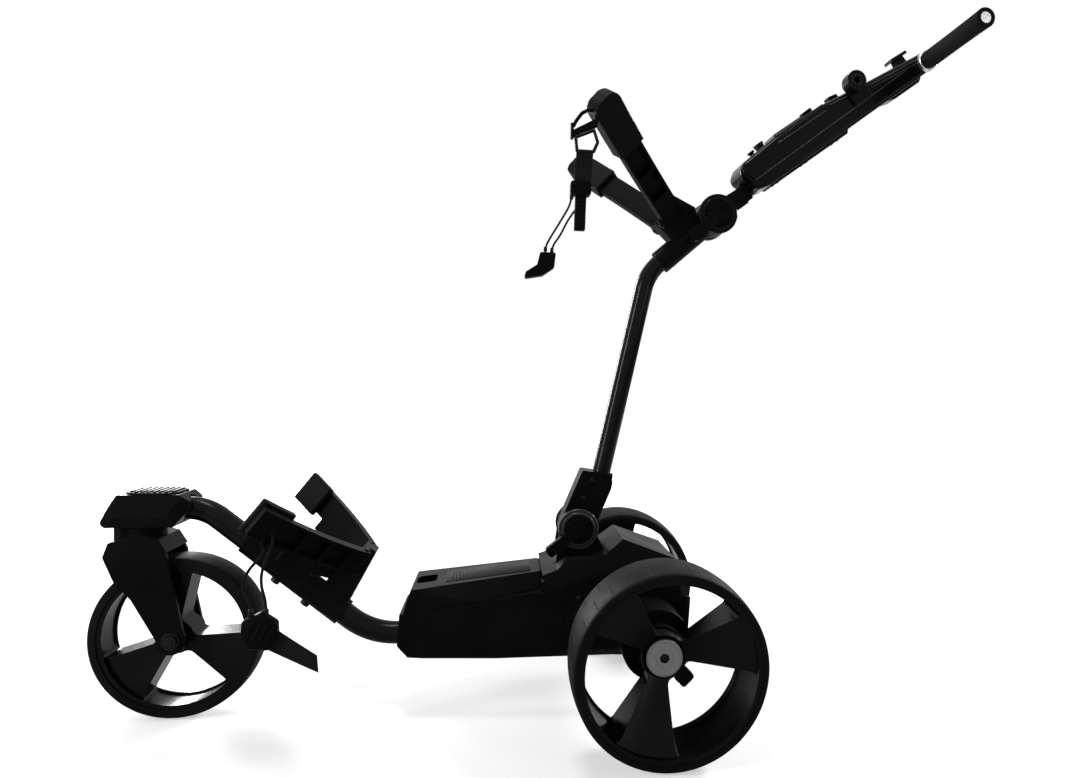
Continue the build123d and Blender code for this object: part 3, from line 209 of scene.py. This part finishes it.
def woven(name, base, pitch, slant):
    """Woven or braided yarn: two crossing sets of ridges."""
    shade = Shade(name, base, 0.75, specular=0.03)
    turn = shade.add("ShaderNodeMapping", Rotation=(0.0, math.radians(slant), 0.0))
    shade.link(shade.coords, turn.inputs["Vector"])
    cross = shade.add("ShaderNodeMath", operation="MULTIPLY")
    for which, direction in enumerate("XZ"):
        yarn = shade.add("ShaderNodeTexWave", bands_direction=direction, Scale=pitch)
        shade.link(turn.outputs["Vector"], yarn.inputs["Vector"])
        shade.link(yarn.outputs["Fac"], cross.inputs[which])
    shade.tint(cross.outputs[0], [c * 0.6 for c in base], [c * 1.8 for c in base])
    shade.rough(shade.noise(30, 4), 0.68, 0.82)
    shade.bump(cross.outputs[0], 0.0004)
    return shade.mat


def glass(name, base):
    shade = Shade(name, base, 0.12, specular=0.4, coat=0.3)
    shade.rough(shade.noise(40, 3), 0.08, 0.18)
    return shade.mat


SHELL = grained("black_grained_plastic", (0.0036, 0.0036, 0.0038), 0.33, 1500, 0.00008,
                specular=0.02)
GLOSS = grained("black_console_plastic", (0.0030, 0.0030, 0.0032), 0.18, 2200, 0.00003, 0.04, 0.065)
# A lighter plastic for the trim strips and the lower collar: its colour is partly painted
# highlight, standing in for the light lines on the console's edges and the collar's rings
TRIM_AND_HIGHLIGHT = grained("satin_trim_and_painted_highlight", (0.022, 0.022, 0.023), 0.26, 2200, 0.00003, 0.04, 0.3)
SATIN = grained("black_powder_coat", (0.0038, 0.0038, 0.0040), 0.19, 2600, 0.00003, 0.04, 0.08)
RIM = grained("black_rim_plastic", (0.0036, 0.0036, 0.0036), 0.23, 1800, 0.00005, 0.05, 0.06)
TYRE = grained("tyre_rubber", (0.0048, 0.0048, 0.0048), 0.58, 900, 0.00016, specular=0.03)
PAD = grained("soft_black_rubber", (0.0050, 0.0050, 0.0050), 0.48, 1100, 0.00012, specular=0.03)
FOAM = grained("black_foam", (0.0075, 0.0075, 0.0075), 0.75, 800, 0.0004)
DARK = grained("black_oxide_steel", (0.006, 0.006, 0.0065), 0.30, 900, 0.00003, specular=0.09)
BOARD = grained("circuit_board", (0.02, 0.09, 0.05), 0.5, 500, 0.0001)
SILVER = turned_metal("satin_silver", (0.62, 0.62, 0.63), 0.34)
DISC = turned_metal("sandblasted_disc", (0.19, 0.19, 0.195), 0.42)
STEEL = turned_metal("turned_steel", (0.42, 0.42, 0.43), 0.3)
WEB = woven("woven_webbing", (0.012, 0.012, 0.012), 180.0, 0.0)
CORD = woven("braided_elastic", (0.013, 0.013, 0.013), 260.0, 45.0)
SCREEN = glass("display_glass", (0.012, 0.013, 0.014))
LCD = grained("liquid_crystal_grey", (0.24, 0.26, 0.22), 0.3, 2500, 0.00002, specular=0.4)
INK = grained("segment_dark", (0.02, 0.022, 0.02), 0.4, 2500, 0.00002)

BY_SLOT = {"shell": SHELL, "pad": PAD, "tube": SATIN, "tread": TYRE, "rim": RIM, "foam": FOAM,
           "silver": SILVER, "steel": STEEL, "dark_steel": DARK, "webbing": WEB, "elastic": CORD,
           "screen": SCREEN, "battery": SHELL, "board": BOARD}
BY_NODE = {"console_lower": GLOSS, "console_upper": GLOSS, "accessory_barrel": GLOSS,
           "hub_disc_left": DISC, "hub_disc_right": DISC}
for entry in frame["record"]["subparts"]:
    mesh = nodes[entry["node"]].data
    mesh.materials.clear()
    mesh.materials.append(BY_NODE.get(entry["node"], BY_SLOT[entry["material_slot"]]))


# Cords: each route's points, in X and Z at one Y, are those of its CAD tube
STRAP_RADIUS, BUNGEE_RADIUS = 0.0014, 0.002
CORDS = (
    ("strap_cord_a", STRAP_RADIUS, "mast", "strap_cord", STRAP_Y,
     ((-133, 751), (-133, 741), (-147, 716), (-160, 694), (-167, 681), (-167, 672))),
    ("strap_cord_b", STRAP_RADIUS, "mast", "strap_cord", STRAP_INNER_Y,
     ((-122, 751), (-122, 740), (-137, 719), (-147, 697), (-158, 682), (-158, 672))),
    ("bungee_a", BUNGEE_RADIUS, "lower_arm_left", "lower_cord", BUNGEE_Y,
     ((-517, 288), (-517, 276), (-528, 252), (-532, 226), (-524, 200), (-524, 186))),
    ("bungee_b", BUNGEE_RADIUS, "lower_arm_left", "lower_cord", BUNGEE_Y,
     ((-528, 274), (-528, 264), (-548, 243), (-556, 218), (-543, 199), (-543, 186))))


def cord(name, points, radius, body, node):
    curve = bpy.data.curves.new(name, "CURVE")
    curve.dimensions = "3D"
    spline = curve.splines.new("NURBS")
    spline.points.add(len(points) - 1)
    for point, place in zip(spline.points, points):
        point.co = (*place, 1)
    spline.order_u = 3
    spline.use_endpoint_u = True
    spline.resolution_u = 16
    curve.bevel_depth = radius
    curve.bevel_resolution = 4
    curve.use_fill_caps = True
    curve.materials.append(CORD)
    piece = bpy.data.objects.new(name, curve)
    scene.collection.objects.link(piece)
    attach(piece, body)
    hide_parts(node)
    return piece


for name, radius, body, node, y, route in CORDS:
    points = [at(x, y, z) for x, z in route]
    cord(name, points, radius, body, node)


# Pieces: millimetre frames on the mid-plane, and mesh helpers
MM = Matrix.Scale(0.001, 4)


def turned(x, z, degrees):
    """A millimetre frame at a place from the rear axle, its X axis tilted up by an angle."""
    return Matrix.Translation(at(x, 0, z)) @ Matrix.Rotation(-math.radians(degrees), 4, "Y") @ MM


AXLE = turned(0, 0, 0)
HANDLE = turned(*UPPER_HINGE, HANDLE_TILT)
DECK = HANDLE @ Matrix.Translation(DECK_START) @ Matrix.Rotation(math.atan(DECK_SLOPE), 4, "Y")
LID = turned(*LID_EDGE, LID_TILT)
HEAD = turned(*HEAD_TOP, 0)
LEFT, RIGHT = Vector((0, -1, 0)), Vector((0, 1, 0))
AHEAD, UP, DOWN = (1, 0, 0), (0, 0, 1), (0, 0, -1)
SIDES = ((LEFT, "left"), (RIGHT, "right"))


def make(name, bm, body, material, hides=(), crease=35):
    """Turns a bmesh into a piece that rides on a body and may stand for CAD nodes."""
    bmesh.ops.remove_doubles(bm, verts=bm.verts, dist=1e-6)
    bmesh.ops.recalc_face_normals(bm, faces=bm.faces)
    mesh = bpy.data.meshes.new(name)
    bm.to_mesh(mesh)
    bm.free()
    mesh.materials.append(material)
    mesh.shade_smooth()
    mesh.set_sharp_from_angle(angle=math.radians(crease))
    piece = bpy.data.objects.new(name, mesh)
    scene.collection.objects.link(piece)
    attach(piece, body)
    if hides:
        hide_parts(*hides)
    return piece


def lathe(bm, frame, origin, axis, profile, steps):
    """Turns a profile of (distance along the axis, radius) about an axis, in a frame's mm."""
    axis = Vector(axis).normalized()
    zero = axis.orthogonal().normalized()
    other = axis.cross(zero)
    rings = []
    for i in range(steps):
        angle = math.radians(360.0 * i / steps)
        out = zero * math.cos(angle) + other * math.sin(angle)
        rings.append([bm.verts.new(frame @ (Vector(origin) + axis * along + out * radius))
                      for along, radius in profile])
    for here, there in zip(rings, rings[1:] + rings[:1]):
        for j in range(len(profile) - 1):
            bm.faces.new((here[j], there[j], there[j + 1], here[j + 1]))


def round_edges(bm, edges, round_by):
    bmesh.ops.bevel(bm, geom=edges, offset=round_by / 1000, segments=2, profile=0.5, affect="EDGES")


def block(bm, frame, centre, size, round_by, tilt=0.0):
    """A box with rounded edges in a frame's millimetres, turned about its Y axis."""
    place = Matrix.Translation(centre) @ Matrix.Rotation(math.radians(tilt), 4, "Y")
    made = bmesh.ops.create_cube(bm, size=1, matrix=frame @ place @ Matrix.Diagonal((*size, 1)))
    round_edges(bm, list({edge for vert in made["verts"] for edge in vert.link_edges}), round_by)


def plate(bm, frame, points, low, high, round_by):
    """An outline in a frame's X and Z, drawn out along Y between two distances, edges rounded."""
    face = bm.faces.new([bm.verts.new(frame @ Vector((x, low, z))) for x, z in points])
    made = bmesh.ops.extrude_face_region(bm, geom=[face])
    moved = [v for v in made["geom"] if isinstance(v, bmesh.types.BMVert)]
    shift = frame.to_3x3() @ Vector((0, high - low, 0))
    bmesh.ops.translate(bm, verts=moved, vec=shift)
    verts = set(face.verts) | set(moved)
    edges = [edge for edge in bm.edges if edge.verts[0] in verts and edge.verts[1] in verts]
    round_edges(bm, edges, round_by)


def bar(bm, frame, start, end, radius):
    """A round bar with domed ends between two points."""
    run = Vector(end) - Vector(start)
    profile = [(-radius, 0), (-0.8 * radius, 0.6 * radius), (0, radius), (run.length, radius),
               (run.length + 0.8 * radius, 0.6 * radius), (run.length + radius, 0)]
    lathe(bm, frame, start, run, profile, 16)


def screw(bm, frame, place, axis, radius, height):
    """A round screw head with a six-sided socket."""
    lathe(bm, frame, place, axis, [(-1, radius), (height - 0.6, radius), (height, radius - 0.7),
                                   (height, 0.55 * radius)], 24)
    lathe(bm, frame, place, axis, [(height, 0.55 * radius), (0.3 * height, 0.5 * radius),
                                   (0.3 * height, 0)], 24)
    lathe(bm, frame, place, axis, [(height - 0.1, 0.6 * radius), (0.4 * height, 0.4 * radius),
                                   (0.4 * height, 0)], 6)


# Tyres
CROWN = 3.0  # how far the tread falls from its middle to its edges
GROOVE_DEPTH, SIPE_DEPTH, SIPE_WAVE = 0.7, 0.6, 3.0
SIPE_START = 4.0  # the sipes' inner ends, from the tread's middle
# Columns of one pitch: the share of the pitch, and the row of sipes cut there, 1 at +Y and 2 at -Y
SIPE_COLUMNS = ((0.05, 0), (0.065, 1), (0.085, 1), (0.10, 0), (0.3, 0), (0.55, 0), (0.565, 2),
                (0.585, 2), (0.60, 0), (0.8, 0))


def tyre(name, body, node, hub, radius, width, depth, pitch):
    """A crowned tread with staggered rows of zig-zag sipes and a thin groove by each shoulder."""
    half = width / 2
    count = round(2 * math.pi * radius / pitch)
    row = half - 9  # the sipes' outer ends
    across = [half - 3.0, half - 4.6, half - 4.7, half - 5.5, half - 5.6, row + 0.5, row]
    while across[-1] > 7:
        across.append(across[-1] - 3)
    across[-1] = SIPE_START
    across += [SIPE_START - 0.5, 0.0]
    across += [-y for y in reversed(across[:-1])]
    shoulder = [(half - 1.2, radius - 3.4), (half - 0.2, radius - 4.6), (half, radius - 6),
                (half, radius - depth)]

    def cut(y, sipes):
        if half - 5.55 < abs(y) < half - 4.65:
            return GROOVE_DEPTH
        in_row = SIPE_START - 0.1 < abs(y) <= row + 0.01
        return SIPE_DEPTH if in_row and sipes == (1 if y > 0 else 2) else 0.0

    def wave(y):
        return SIPE_WAVE * abs(((y / 6.0) % 2) - 1) if abs(y) < row + 1 else 0.0

    bm = bmesh.new()
    rings = []
    for turn in range(count):
        for share, sipes in SIPE_COLUMNS:
            ring = [(y, r, 0.0) for y, r in reversed(shoulder)]
            ring += [(y, radius - CROWN * (y / half) ** 2 - cut(y, sipes), wave(y)) for y in across]
            ring += [(-y, r, 0.0) for y, r in shoulder]
            verts = []
            for y, r, shift in ring:
                angle = 2 * math.pi * (turn + share) / count + shift / radius
                place = Vector((r * math.cos(angle), y, r * math.sin(angle)))
                verts.append(bm.verts.new(AXLE @ (Vector(hub) + place)))
            rings.append(verts)
    for here, there in zip(rings, rings[1:] + rings[:1]):
        for j in range(len(here)):
            k = (j + 1) % len(here)
            bm.faces.new((here[j], there[j], there[k], here[k]))
    make(name, bm, body, TYRE, (node,), 28)


for side, word in SIDES:
    tyre(f"tread_{word}", f"rear_wheel_{word}", f"rear_tyre_{word}",
         (0, HALF_TRACK * side.y, REAR_RADIUS), REAR_RADIUS, 100, 10, 27)
tyre("tread_front", "front_wheel", "front_tyre", FRONT_HUB, FRONT_RADIUS, 56, 14, 25)

# Wheel centres: a domed bolt, a six-sided plate and a step ring on each rear hub disc, the release
# knob behind it, and a nut and washer on each side of the front fork
HUB_BOLT = [(211, 6.5), (214, 6.5), (215.2, 5.2), (215.8, 2.8), (216, 0)]
HUB_PLATE = [(214.8, 13.6), (215.5, 13.0), (215.5, 7.1), (214.8, 7.1)]
HUB_STEP = [(214.9, 23.6), (215.4, 23.0), (215.4, 21.4), (214.9, 20.8)]
KNOB_STEM = [(0, 0), (0, 3.4), (13.6, 3.4), (13.6, 7), (19, 7), (19, 3.4), (33, 3.4)]
FRONT_NUT = [(45.4, 5.6), (46.6, 5.2), (47.2, 3), (47.3, 0)]
FRONT_WASHER = [(39.6, 12.5), (41.4, 12.5), (41.8, 12), (41.8, 9.2)]
KNOB_OUT, KNOB_TURN = 199, 45  # the plunger's distance from the mid-plane, and its slant in degrees
for side, word in SIDES:
    bm = bmesh.new()
    lathe(bm, AXLE, REAR_HUB, side, HUB_BOLT, 32)
    make(f"hub_bolt_{word}", bm, f"rear_wheel_{word}", DARK)
    bm = bmesh.new()
    lathe(bm, AXLE, REAR_HUB, side, HUB_PLATE, 6)
    lathe(bm, AXLE, REAR_HUB, side, HUB_STEP, 64)
    make(f"hub_ring_{word}", bm, f"rear_wheel_{word}", DISC)
    bm = bmesh.new()
    knob = (Matrix.Translation(at(0, KNOB_OUT * side.y, REAR_RADIUS))
            @ Matrix.Rotation(math.radians(KNOB_TURN), 4, "Y") @ MM)
    block(bm, knob, (42.5, 0, 0), (21, 18, 21), 3.5)
    for line in range(4):
        block(bm, knob, (36 + 4.2 * line, 0, 0), (1.8, 18.8, 21.8), 0.7)
    lathe(bm, knob, (11, 0, 0), AHEAD, KNOB_STEM, 32)
    make(f"release_knob_{word}", bm, f"wheel_release_{word}", PAD,
         (f"wheel_release_{word}",))
for side, word in SIDES:
    bm = bmesh.new()
    lathe(bm, AXLE, FRONT_HUB, side, FRONT_NUT, 24)
    lathe(bm, AXLE, FRONT_HUB, side, FRONT_WASHER, 40)
    make(f"front_nut_{word}", bm, "caster", DARK)

# Clamp levers: a stepped collar under each, and a raised edge and ribs on each lever; the lower
# collar takes the lighter trim plastic, a painted highlight on its rings
COLLAR = [(36.3, 12), (36.3, 31), (38.4, 31), (39.2, 30.2), (39.2, 28.6), (38, 28), (38, 26.6),
          (40, 26), (40.8, 25.2), (40.8, 22.6), (39.4, 22), (39.4, 12), (36.3, 12)]
for (x, z), word, collar_material in ((LOWER_HINGE, "lower", TRIM_AND_HIGHLIGHT), (UPPER_HINGE, "upper", SATIN)):
    bm = bmesh.new()
    lathe(bm, AXLE, (x, 0, z), LEFT, COLLAR, 72)
    make(f"{word}_collar", bm, f"{word}_clamp_lever", collar_material)
for hinge, angle, body in ((LOWER_HINGE, 217, "lower_clamp_lever"),
                           (UPPER_HINGE, 225, "upper_clamp_lever")):
    bm = bmesh.new()
    lever = turned(*hinge, angle)
    for edge in (-7.4, 7.4):
        block(bm, lever, (25, LEVER_EDGE_Y, edge), (62, 1.6, 1.8), 0.5)
    for end in (-6.5, 57):
        block(bm, lever, (end, LEVER_EDGE_Y, 0), (1.8, 1.6, 13), 0.5)
    for rib in range(5):
        block(bm, lever, (34 + 4 * rib, LEVER_EDGE_Y + 0.1, 0), (1.6, 1.2, 9), 0.4)
    make(f"{body}_rim", bm, body, SHELL)

# Handle: foam grips, console trim strips in a lighter plastic that paints highlights along the
# console, display, fasteners, and the cross bar's end caps and collars
GRIP_RADIUS, GRIP_WAIST = 14.4, 0.35
GRIP_INNER_END = [(47.2, 11.1), (47.2, 12.9), (48.0, 14.0), (50, GRIP_RADIUS)]
GRIP_MIDDLE = [(50 + 7.4 * i, GRIP_RADIUS - GRIP_WAIST * math.sin(math.pi * i / 20))
               for i in range(1, 20)]
GRIP_OUTER_END = [(198, GRIP_RADIUS), (203.8, 14.6), (205.2, 13.8), (205.6, 12.6), (205.6, 9.4),
                  (204.6, 8.6), (204.1, 8.6)]
BARREL_RIM = [(59.6, 5.3), (60.8, 5.5), (60.8, 8.2), (60.2, 9.2), (59.6, 9.4)]
BARREL_BAND = [(40, 16.1), (41, 16.5), (43, 16.5), (44, 16.1)]
END_CAP = [(203.8, 8.4), (204.7, 7.8), (204.9, 4.4), (204.5, 4.0), (204.5, 0)]
BAR_COLLAR = [(37.4, 11.2), (37.4, 15.6), (38.2, 16.4), (46.2, 16.4), (47.1, 15.6), (47.1, 11.2)]
# Raised strips along the console's sides, lighter than the console so that they paint its edge
# highlights: distance along the handle, height, size, rounding and slant
SIDE_STRIPS = ((240, 8, (318, 1.0, 1.5), 0.3, 0.0), (378, 17.4, (96, 1.6, 1.8), 0.6, 7.2),
               (378, 12.4, (96, 1.6, 1.2), 0.4, 7.2), (292, 29.5, (74, 1.6, 1.8), 0.6, 8.6),
               (196, 33.0, (98, 1.4, 1.6), 0.5, 1.7))
MARK_TOP = 4.5  # height of the display's marks over the deck
for side, word in SIDES:
    bm = bmesh.new()
    lathe(bm, HANDLE, BAR_CENTRE, side, GRIP_INNER_END + GRIP_MIDDLE + GRIP_OUTER_END, 64)
    grip = make(f"foam_grip_{word}", bm, "handle", FOAM, ("grips",))
bm = bmesh.new()
for side in (-1, 1):
    for along, height, size, round_by, slant in SIDE_STRIPS:
        block(bm, HANDLE, (along, CONSOLE_SIDE * side, height), size, round_by, slant)
    block(bm, DECK, (49, 30.5 * side, 0.1), (98, 2.4, 1.4), 0.5)
block(bm, DECK, (49, 0, 0.0), (97, 56, 1.2), 0.5)
make("console_trim_and_highlights", bm, "handle", TRIM_AND_HIGHLIGHT)
bm = bmesh.new()
block(bm, DECK, (33.5, 0, 4.0), (51, 39, 1.0), 0.4)
make("display_panel", bm, "handle", LCD)
bm = bmesh.new()
for cell in range(5):
    block(bm, DECK, (16, -14 + 7 * cell, MARK_TOP), (5, 5.2, 0.3), 0.1)
for line in range(3):
    block(bm, DECK, (27 + 8 * line, 0, MARK_TOP), (3.4, 30 - 7 * line, 0.3), 0.1)
block(bm, DECK, (52, 0, MARK_TOP), (2, 34, 0.3), 0.1)
make("display_marks", bm, "handle", INK)
bm = bmesh.new()
lathe(bm, HANDLE, BARREL_CENTRE, LEFT, BARREL_RIM, 40)
lathe(bm, HANDLE, BARREL_CENTRE, LEFT, BARREL_BAND, 48)
for x in (292, 320):
    screw(bm, HANDLE, (x, -42, 16), LEFT, 2.6, 1.4)
for x in (120, 180, 245):
    for y in (-12, 12):
        keel = -15.0 - (x - 106) * 0.019  # the console's underside falls away along the handle
        screw(bm, HANDLE, (x, y, keel), DOWN, 2.6, 1.2)
make("console_fasteners", bm, "handle", DARK)
bm = bmesh.new()
for side in (LEFT, RIGHT):
    lathe(bm, HANDLE, BAR_CENTRE, side, END_CAP, 40)
    lathe(bm, HANDLE, BAR_CENTRE, side, BAR_COLLAR, 56)
make("end_caps", bm, "handle", SILVER)

# Steering head: a ridged rubber pad on the casing, its ridges shorter where the outline narrows
HEAD_OUTLINE = [(-22, -18), (-8, -30), (38, -30), (50, -20), (50, 20), (38, 30), (-8, 30),
                (-22, 18)]
RIDGE_HALF = 28
bm = bmesh.new()
plate(bm, HEAD @ Matrix.Rotation(math.radians(90), 4, "X"), HEAD_OUTLINE, 0, 2.6, 0.9)
for line in range(8):
    x = -14 + 8 * line
    narrow = max(0, -6 - x, x - 37) * 0.9
    block(bm, HEAD, (x, 0, 3.2), (4.4, 2 * (RIDGE_HALF - narrow) - 4, 2.6), 1.0)
pad = make("head_pad", bm, "chassis", PAD, ("head_top_pad",))

# Chassis: lid panel with finger ribs, louvres and screws; the mast socket's bolts and screws
SOCKET_BOLT = [(-2, 4.2), (3.2, 4.2), (4, 3.4), (4, 0)]
bm = bmesh.new()
block(bm, LID, (112, 0, -0.3), (128, 74, 2.0), 0.8)
for line in range(5):
    block(bm, LID, (58 + 5 * line, 0, 0.7), (2.2, 44, 1.6), 0.6)
make("lid_panel", bm, "battery_lid", SHELL)
bm = bmesh.new()
for line in range(5):
    block(bm, AXLE, (66, 0, 180 + 5 * line), (2.4, 88, 2.2), 0.7)
for side in (-1, 1):
    block(bm, AXLE, (-78, CHASSIS_SIDE * side, 166), (74, 1.6, 3), 0.6)
make("rear_louvres", bm, "chassis", SHELL)
bm = bmesh.new()
for x, z in ((-110, 112), (-64, 98), (-104, 178), (-58, 177)):
    for side in (-1, 1):
        screw(bm, AXLE, (x, CHASSIS_SIDE * side, z), (0, side, 0), 3.6, 1.6)
make("chassis_screws", bm, "chassis", DARK)
bm = bmesh.new()
for z in (339, 350):
    lathe(bm, AXLE, (-50, 0, z), AHEAD, SOCKET_BOLT, 24)
for x, z in ((-94, 318), (-80, 346)):
    for side in (-1, 1):
        screw(bm, AXLE, (x, SOCKET_SIDE * side, z), (0, side, 0), 3.4, 1.6)
make("socket_bolts", bm, "mast", DARK)


# Rubber arm pads and caps
def soft_copy(name, node, body, passes):
    """A solid's shape with its edges softened by smoothing passes."""
    source = bpy.data.objects.new(name + "_source", nodes[node].data.copy())
    scene.collection.objects.link(source)
    remesh = source.modifiers.new("remesh", "REMESH")
    remesh.mode = "VOXEL"
    remesh.voxel_size = 0.0016
    smooth = source.modifiers.new("smooth", "SMOOTH")
    smooth.iterations = passes
    smooth.factor = 0.5
    shape = source.evaluated_get(bpy.context.evaluated_depsgraph_get())
    bm = bmesh.new()
    bm.from_mesh(shape.to_mesh())
    bpy.data.objects.remove(source)
    piece = make(name, bm, body, PAD, (node,), 60)


for word in ("left", "right"):
    soft_copy(f"arm_pad_{word}", f"lower_pad_{word}", f"lower_arm_{word}", 6)
    soft_copy(f"arm_cap_{word}", f"upper_pad_{word}", "mast", 5)

# Straps: frame, ring, sewn webbing, pull ribs, crimps, buckle and its tail
ROWS, COLUMNS = 12, 4
WEB_THICK, WEB_WAVE = 1.4, 0.6


def mix(a, b, share):
    return a * (1 - share) + b * share


def ribbon(name, edges, y, body, hides):
    """A woven strap as a thin solid between two edges in X and Z, a little waved."""
    left, right = edges
    bm = bmesh.new()
    grid = {}
    for layer in (0, 1):
        for i in range(ROWS + 1):
            down = i / ROWS
            bulge = WEB_WAVE * math.sin(math.pi * down)
            for j in range(COLUMNS + 1):
                x, z = (mix(mix(left[0][n], left[1][n], down), mix(right[0][n], right[1][n], down),
                            j / COLUMNS) for n in (0, 1))
                place = Vector((x, y - WEB_THICK * layer - bulge, z))
                grid[layer, i, j] = bm.verts.new(AXLE @ place)

    def face(*keys):
        bm.faces.new([grid[key] for key in keys])

    for i in range(ROWS):
        for j in range(COLUMNS):
            for layer in (0, 1):
                face((layer, i, j), (layer, i + 1, j), (layer, i + 1, j + 1), (layer, i, j + 1))
        for j in (0, COLUMNS):
            face((0, i, j), (0, i + 1, j), (1, i + 1, j), (1, i, j))
    for j in range(COLUMNS):
        for i in (0, ROWS):
            face((0, i, j), (0, i, j + 1), (1, i, j + 1), (1, i, j))
    piece = make(name, bm, body, WEB, hides)


FRAME_PLATE = [(-135, 828), (-134, 838.5), (-101, 857), (-99.5, 846)]
FRAME_ARCH = [(-132, 845), (-128, 853), (-121, 863), (-112, 868.5), (-103, 868), (-100, 852)]
RING_CORNERS = [(-129, 829), (-104.5, 840), (-99, 824), (-104.5, 811), (-127, 811)]
STRAP_CRIMP = [(0, 1.5), (0, 2.2), (0.8, 2.6), (5.2, 2.6), (6, 2.2), (6, 1.5)]
BUNGEE_CRIMP = [(-6, 2.1), (-6, 3.0), (-5.2, 3.4), (5.2, 3.4), (6, 3.0), (6, 2.1)]
BUCKLE = [(-553, 177), (-529, 189), (-509, 175), (-508, 158), (-519, 138), (-546, 141), (-554, 158)]
BUCKLE_RIBS = ((-517, 157), (-525, 160), (-533, 163), (-541, 166))
bm = bmesh.new()
plate(bm, AXLE, FRAME_PLATE, -180.5, -171.5, 1.6)
block(bm, AXLE, (-133.8, STRAP_Y, 838), (4.4, 10, 21), 1.2)
for start, end in zip(FRAME_ARCH, FRAME_ARCH[1:]):
    bar(bm, AXLE, (start[0], STRAP_Y, start[1]), (end[0], STRAP_Y, end[1]), 2.5)
make("strap_frame", bm, "mast", SHELL, ("strap_bracket",))
bm = bmesh.new()
for start, end in zip(RING_CORNERS, RING_CORNERS[1:] + RING_CORNERS[:1]):
    bar(bm, AXLE, (start[0], RING_Y, start[1]), (end[0], RING_Y, end[1]), 2.3)
make("strap_ring", bm, "mast", DARK, ("strap_webbing",))
ribbon("strap_web", (((-127.5, 813), (-130, 765)), ((-104.5, 813), (-107.5, 765))), -178.6, "mast",
       ("strap_webbing",))
bm = bmesh.new()
for z in (796, 800):
    for step in range(5):
        block(bm, AXLE, (-125 + 4.2 * step, -180.5, z), (2.6, 1.2, 0.8), 0.2)
make("strap_stitches", bm, "mast", INK)
bm = bmesh.new()
for line in range(6):
    block(bm, AXLE, (-121, STRAP_Y, 710 + 6 * line), (14, 9.2, 2.2), 0.8)
make("pull_ribs", bm, "mast", PAD)
bm = bmesh.new()
for x, y, z in ((-133, STRAP_Y, 746), (-122, STRAP_INNER_Y, 746), (-167, STRAP_Y, 674),
                (-158, STRAP_INNER_Y, 674)):
    lathe(bm, AXLE, (x, y, z), UP, STRAP_CRIMP, 24)
make("strap_crimps", bm, "mast", DARK)
bm = bmesh.new()
plate(bm, AXLE, BUCKLE, -158, -142, 2.4)
for x, z in BUCKLE_RIBS:
    block(bm, AXLE, (x, BUNGEE_Y, z), (28, 17.6, 2.6), 0.8, -65.5)
buckle = make("buckle", bm, "lower_arm_left", SHELL, ("lower_buckle",))
ribbon("buckle_tail", (((-522, 138), (-457, 105)), ((-513, 166), (-459, 128))), -149.3,
       "lower_arm_left", ("lower_buckle",))
bm = bmesh.new()
for x in (-524, -543):
    lathe(bm, AXLE, (x, BUNGEE_Y, 185.5), UP, BUNGEE_CRIMP, 24)
make("bungee_crimps", bm, "lower_arm_left", DARK)


# Studio
def light_world():
    """A white world for the eye and for reflections, and a dim one for the light on the part."""
    world = bpy.data.worlds.new("studio")
    scene.world = world
    world.use_nodes = True
    tree = world.node_tree
    background = tree.nodes["Background"]
    rays = tree.nodes.new("ShaderNodeLightPath").outputs
    seen = rays["Is Camera Ray"]
    for kind in ("Is Transmission Ray", "Is Glossy Ray"):
        either = tree.nodes.new("ShaderNodeMath")
        either.operation = "MAXIMUM"
        tree.links.new(seen, either.inputs[0])
        tree.links.new(rays[kind], either.inputs[1])
        seen = either.outputs[0]
    level = tree.nodes.new("ShaderNodeMapRange")
    level.inputs["To Min"].default_value = 0.16
    level.inputs["To Max"].default_value = 1.0
    tree.links.new(seen, level.inputs["Value"])
    tree.links.new(level.outputs["Result"], background.inputs["Strength"])
    background.inputs["Color"].default_value = (1, 1, 1, 1)


def lay_floor():
    """A pale floor that holds the shadow near the part and fades to white further out."""
    mesh = bpy.data.meshes.new("floor")
    floor = bpy.data.objects.new("floor", mesh)
    scene.collection.objects.link(floor)
    bm = bmesh.new()
    bmesh.ops.create_grid(bm, x_segments=1, y_segments=1, size=9)
    bm.to_mesh(mesh)
    bm.free()
    white = Shade("white_floor", (0.5, 0.5, 0.5), 0.9, specular=0.0)
    far = white.add("ShaderNodeVectorMath", operation="LENGTH")
    white.link(white.coords, far.inputs[0])
    rise = white.add("ShaderNodeMapRange", interpolation_type="SMOOTHSTEP", From_Min=0.7,
                     From_Max=2.4, To_Min=0.52, To_Max=1.0)
    white.link(far.outputs["Value"], rise.inputs["Value"])
    glow = white.add("ShaderNodeMath", operation="MULTIPLY")
    white.link(white.add("ShaderNodeLightPath").outputs["Is Camera Ray"], glow.inputs[0])
    white.link(rise.outputs["Result"], glow.inputs[1])
    white.bsdf.inputs["Emission Color"].default_value = (1, 1, 1, 1)
    white.link(glow.outputs[0], white.bsdf.inputs["Emission Strength"])
    mesh.materials.append(white.mat)


# Area lamps: place and size in metres, power in watts, all aimed at the part's middle
LAMPS = (("key", (-2.3, -1.2, 1.15), (0.25, 1.3), 48), ("fill", (1.9, -1.8, 1.0), (0.9, 0.9), 7),
         ("top", (-0.3, -0.2, 2.4), (0.9, 0.35), 20), ("back", (2.2, 1.1, 1.5), (1.2, 0.6), 110),
         ("far", (-1.5, 2.2, 1.2), (0.4, 1.3), 85))
AIM = Vector((0, 0, 0.45))


def hang_lamp(name, place, size, power):
    data = bpy.data.lights.new(name, "AREA")
    data.shape = "RECTANGLE"
    data.size, data.size_y = size
    data.energy = power
    light = bpy.data.objects.new(name, data)
    scene.collection.objects.link(light)
    light.location = place
    light.rotation_euler = (AIM - Vector(place)).to_track_quat("-Z", "Y").to_euler()


light_world()
lay_floor()
for lamp in LAMPS:
    hang_lamp(*lamp)
